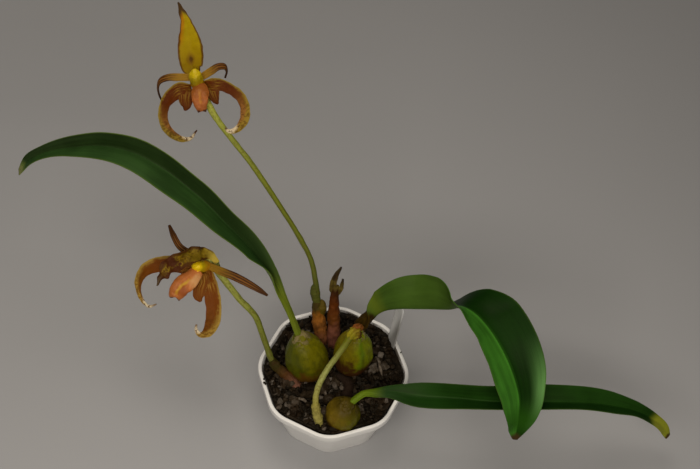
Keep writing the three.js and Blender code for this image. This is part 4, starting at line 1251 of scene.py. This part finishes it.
def build_flower(flower, form, materials):
    place = placed(Vector(form["centre"]) * MM, FACE["lean"], FACE["roll"])

    def organ(node, look, slot, *parts):
        name = f"{flower}_{node}"
        piece(f"{name}_fine", joined(parts), materials[look], [name], place)

    build_column(flower, form["column"], materials[f"{flower}_column"], place)
    build_lip(flower, form["lip"], form["notch"], materials[f"{flower}_lip"], place)
    dorsal = sepal_part(form["dorsal"], 1, THICK["sepal"], 1, cup=-0.06, ripple=0.05, waves=3.0)
    dorsal.roughen(form["crumple"], 5.0, 2.0, smooth(0.08, 0.3, dorsal.values["along"]))
    organ("dorsal_sepal", f"{flower}_dorsal", "sepal_flesh", dorsal)
    for hand, side in (("left", -1), ("right", 1)):
        top = facing((0, 0, 1), (side, 0, 0)) if form["petals_turn"] else FRONT
        petal = blade_part(form[f"petal_{hand}"], 80, 15, lens(THICK["petal"]), top=top, cup=-0.05)
        organ(f"petal_{hand}", "petal", "petal_flesh", petal)
        rows = form[f"lateral_{hand}"]
        sepal = sepal_part(rows, side, THICK["sepal"], 5, 150, cup=-0.1, ripple=0.05, waves=6.0)
        lobe = sepal_part(form[f"lobe_{hand}"], side, THICK["lobe"], 9, 40, cup=-0.1)
        lobe.values["along"] = 0.12 + 0.12 * lobe.values["along"]
        lobe.values["outer"] = 0.45 + 0.3 * lobe.values["outer"]
        organ(f"lateral_sepal_{hand}", f"{flower}_lateral", "sepal_flesh", sepal, lobe)


# Everything in place


def build_bulbs():
    scar = (0.25, 0.19, 0.09)
    looks = {
        "left": bulb_material(
            "bulb_olive", (0.1, 0.045, 0.004), (0.075, 0.083, 0.001), (0.135, 0.125, 0.001), scar
        ),
        "right": bulb_material(
            "bulb_yellow", (0.052, 0.019, 0.004), (0.17, 0.14, 0.002), (0.16, 0.19, 0.001), scar,
            streak=(0.45, (0.09, 0.16, 0.001)), foot_end=0.4,
        ),
        "front": bulb_material(
            "bulb_brown", (0.05, 0.025, 0.002), (0.15, 0.1, 0.006), (0.1, 0.094, 0.001),
            (0.045, 0.031, 0.002), dusk=0.75,
        ),
    }
    for name, form in PSEUDOBULBS.items():
        build_bulb(name, form, looks[name])


def build_leaves():
    olive = (0.045, 0.09, 0.011)
    # The first two colours of each leaf are its painted lit half and its half in painted shade; gleam is a
    # painted sheen.
    looks = {
        "left": leaf_material(
            "leaf_left_green", (0.024, 0.063, 0.013), (0.022, 0.047, 0.011), (0.1, 0.16, 0.02),
            (0.17, 0.22, 0.015), (0.14, 0.19, 0.04), (0.2, 0.22, 0.07), (0.14, 0.3), 0.93,
            gleam=(0.26, 0.08, (0.06, 0.11, 0.03)),
        ),
        "right": leaf_material(
            "leaf_right_green", (0.054, 0.21, 0.02), (0.005, 0.025, 0.0018), olive,
            (0.04, 0.022, 0.002), (0.02, 0.05, 0.003), (0.05, 0.03, 0.01), (0.14, 0.175), 0.985, -1.0,
            [(0.175, 0.03, 0.8, (0.11, 0.15, 0.012)), (0.93, 0.04, 0.6, (0.022, 0.095, 0.005))],
            (0.845, 0.07, (0.17, 0.4, 0.11)), 0.05,
        ),
        "front": leaf_material(
            "leaf_front_green", (0.009, 0.039, 0.003), (0.008, 0.037, 0.003), olive,
            (0.14, 0.22, 0.008), (0.26, 0.28, 0.02), (0.06, 0.035, 0.006), (0.11, 0.24), 0.812,
        ),
    }
    for name, form in LEAVES.items():
        build_leaf(name, form, looks[name])


def build_stalks():
    """Three stalks: for each the places of its nodes and its colours from the foot to the flower."""
    looks = {
        "upper": ((0.2, 0.42, 0.66, 0.93), (0.054, 0.066, 0.01), (0.165, 0.19, 0.014), (0.46, 0.48, 0.08)),
        "lower": ((0.3, 0.55, 0.86), (0.055, 0.058, 0.014), (0.24, 0.27, 0.035), (0.56, 0.58, 0.13)),
        "old": ((0.2, 0.5), (0.31, 0.26, 0.045), (0.32, 0.34, 0.1), (0.12, 0.135, 0.002)),
    }
    for name, (nodes, *colours) in looks.items():
        node, look = f"peduncle_{name}", stalk_material(f"stalk_{name}", *colours)
        build_tube(node, STEMS[node], look, 260, 28, noded(nodes), 0.15)


def build_skins():
    """Sheaths, bracts, shoot, withered flower and rhizome: each with the colours along it."""
    sheaths = {
        "sheath_upper": {
            0.1: PURPLE_BROWN, 0.36: (0.34, 0.125, 0.025), 0.64: (0.24, 0.085, 0.006),
            0.82: (0.055, 0.042, 0.004),
        },
        "sheath_lower": {0.1: (0.16, 0.07, 0.045), 0.4: (0.08, 0.03, 0.006), 0.75: (0.03, 0.023, 0.002)},
        "sheath_old": {0.2: (0.34, 0.3, 0.08), 0.8: (0.3, 0.26, 0.06)},
    }
    for name, stops in sheaths.items():
        look = skin_material(f"{name}_skin", stops, 40.0, 0.7)
        build_tube(name, SHEATHS[name], look, 90, 36, overlapped(1.0, 0.2), 0.5, 2.4)
    for name, colour in (("bract_left", (0.09, 0.1, 0.014)), ("bract_right", (0.11, 0.075, 0.006))):
        look = skin_material(f"{name}_skin", {0.2: colour, 0.8: shaded(colour, 0.8)})
        build_tube(name, BRACTS[name], look, 50, 28, overlapped(0.5, 0.16), 0.25)
    shoot = {
        0.1: PURPLE_BROWN, 0.32: (0.13, 0.04, 0.006), 0.5: (0.1, 0.022, 0.001),
        0.7: (0.035, 0.01, 0.001), 0.88: (0.15, 0.11, 0.02), 0.98: (0.04, 0.026, 0.01),
    }
    build_shoot(skin_material("shoot_brown", shoot))
    withered = {
        0.08: (0.26, 0.22, 0.01), 0.28: (0.14, 0.062, 0.005), 0.42: (0.2, 0.06, 0.01),
        0.6: (0.16, 0.055, 0.006), 0.72: (0.09, 0.04, 0.004), 0.95: (0.06, 0.025, 0.004),
    }
    build_withered(skin_material("withered_orange", withered, 20.0, 0.5, 0.3))
    stops = {0.2: (0.014, 0.008, 0.005), 0.8: (0.02, 0.01, 0.006)}
    rhizome = skin_material("rhizome_brown", stops, roughness=0.8, dark=(0.01, 0.006, 0.004))
    build_tube("rhizome", RHIZOME, rhizome, 90, 32, overlapped(0.4, 0.2), 0.6)


def build_roots():
    look = plain_material("root_pale", (0.16, 0.13, 0.1), (0.06, 0.045, 0.03), 0.8, 500.0)
    for name, rows in ROOTS.items():
        build_tube(name, rows, look, 50, 16, None, 0.3, 2.0)


def build_flowers():
    looks = {
        "upper_column": column_material("upper_column_yellow", (0.4, 0.19, 0.006), (0.58, 0.43, 0.005)),
        # Painted light: the lower column is a brighter copy of the same yellow, where the hood shades it.
        "lower_column": column_material("lower_column_painted_lit", (0.5, 0.24, 0.006), (0.9, 0.62, 0.005)),
        "upper_lip": lip_material(
            "upper_lip_salmon", (0.29, 0.085, 0.013), (0.43, 0.13, 0.032), (0.5, 0.2, 0.03)
        ),
        "lower_lip": lip_material(
            "lower_lip_salmon", (0.54, 0.17, 0.038), (0.42, 0.13, 0.03), (0.62, 0.36, 0.02),
            # Painted highlight and painted shade on one side of the lower lip.
            crease=((0.66, 0.34, 0.13), (0.28, 0.065, 0.012)),
        ),
        "upper_dorsal": dorsal_material(
            "upper_dorsal_gold", (0.42, 0.295, 0.001), (0.2, 0.11, 0.001), (0.45, 0.17, 0.002),
            (0.09, 0.03, 0.004), (0.07, 0.035, 0.01), 0.8, 0.84,
        ),
        "lower_dorsal": hood_material(
            "lower_dorsal_maroon", (0.58, 0.44, 0.065), (0.21, 0.135, 0.007), (0.065, 0.016, 0.003),
            (0.12, 0.085, 0.04),
        ),
        "upper_lateral": sepal_material(
            "upper_lateral_brown", (0.098, 0.019, 0.0007), (0.29, 0.185, 0.02), (0.32, 0.24, 0.035),
            (0.75, 0.62, 0.42), (0.3, 0.13, 0.025), 0.45,
        ),
        "lower_lateral": sepal_material(
            "lower_lateral_brown", (0.16, 0.042, 0.003), (0.34, 0.205, 0.032), (0.38, 0.27, 0.055),
            (0.75, 0.65, 0.45), (0.15, 0.05, 0.003), 0.65,
        ),
        "petal": petal_material(
            "petal_striped", (0.29, 0.155, 0.014), (0.18, 0.07, 0.012), (0.05, 0.016, 0.005)
        ),
    }
    for flower, form in FLOWERS.items():
        build_flower(flower, form, looks)


def build_object():
    build_pot(pot_material())
    build_mix(bark_material())
    build_label(label_material())
    build_bulbs()
    build_leaves()
    build_stalks()
    build_skins()
    build_roots()
    build_flowers()


def add_light(name, place, size, power, colour):
    """A soft rectangular light that looks straight down."""
    data = bpy.data.lights.new(name, "AREA")
    data.shape, (data.size, data.size_y) = "RECTANGLE", size
    data.energy, data.color = power, colour
    add_object(name, data).location = place


def build_stage():
    """Pale floor, soft warm light from above and the camera at the photo's angle."""
    mesh, reach = bpy.data.meshes.new("floor"), 4.0
    corners = [(-reach, -reach, 0), (reach, -reach, 0), (reach, reach, 0), (-reach, reach, 0)]
    mesh.from_pydata(corners, [], [(0, 1, 2, 3)])
    floor = add_object("floor", mesh)
    grey = plain_material("floor_grey", (0.39, 0.392, 0.405), (0.38, 0.383, 0.396), 0.9, 3.0)
    floor.data.materials.append(grey)

    warm = (1.0, 0.92, 0.81)
    world = bpy.data.worlds.new("soft_room")
    world.use_nodes = True
    background = world.node_tree.nodes["Background"].inputs
    background["Color"].default_value = (*warm, 1.0)
    background["Strength"].default_value = 0.05
    bpy.context.scene.world = world
    add_light("front", (-0.02, -0.5, 0.58), (0.7, 0.3), 4.3, warm)
    add_light("back", (-0.28, 0.3, 0.85), (0.7, 0.5), 2.1, warm)
    add_light("above", (0.0, 0.1, 0.75), (0.3, 0.3), 0.75, warm)

    data = bpy.data.cameras.new("camera")
    data.lens, data.sensor_width = CAMERA["lens"], CAMERA["sensor"]
    data.clip_start, data.clip_end = 0.01, 20
    camera = add_object("camera", data)
    camera.matrix_world = placed(CAMERA["place"], CAMERA["tilt"], CAMERA["roll"])
    bpy.context.scene.camera = camera
    bpy.context.scene.view_settings.view_transform = "Standard"


build_object()
build_stage()
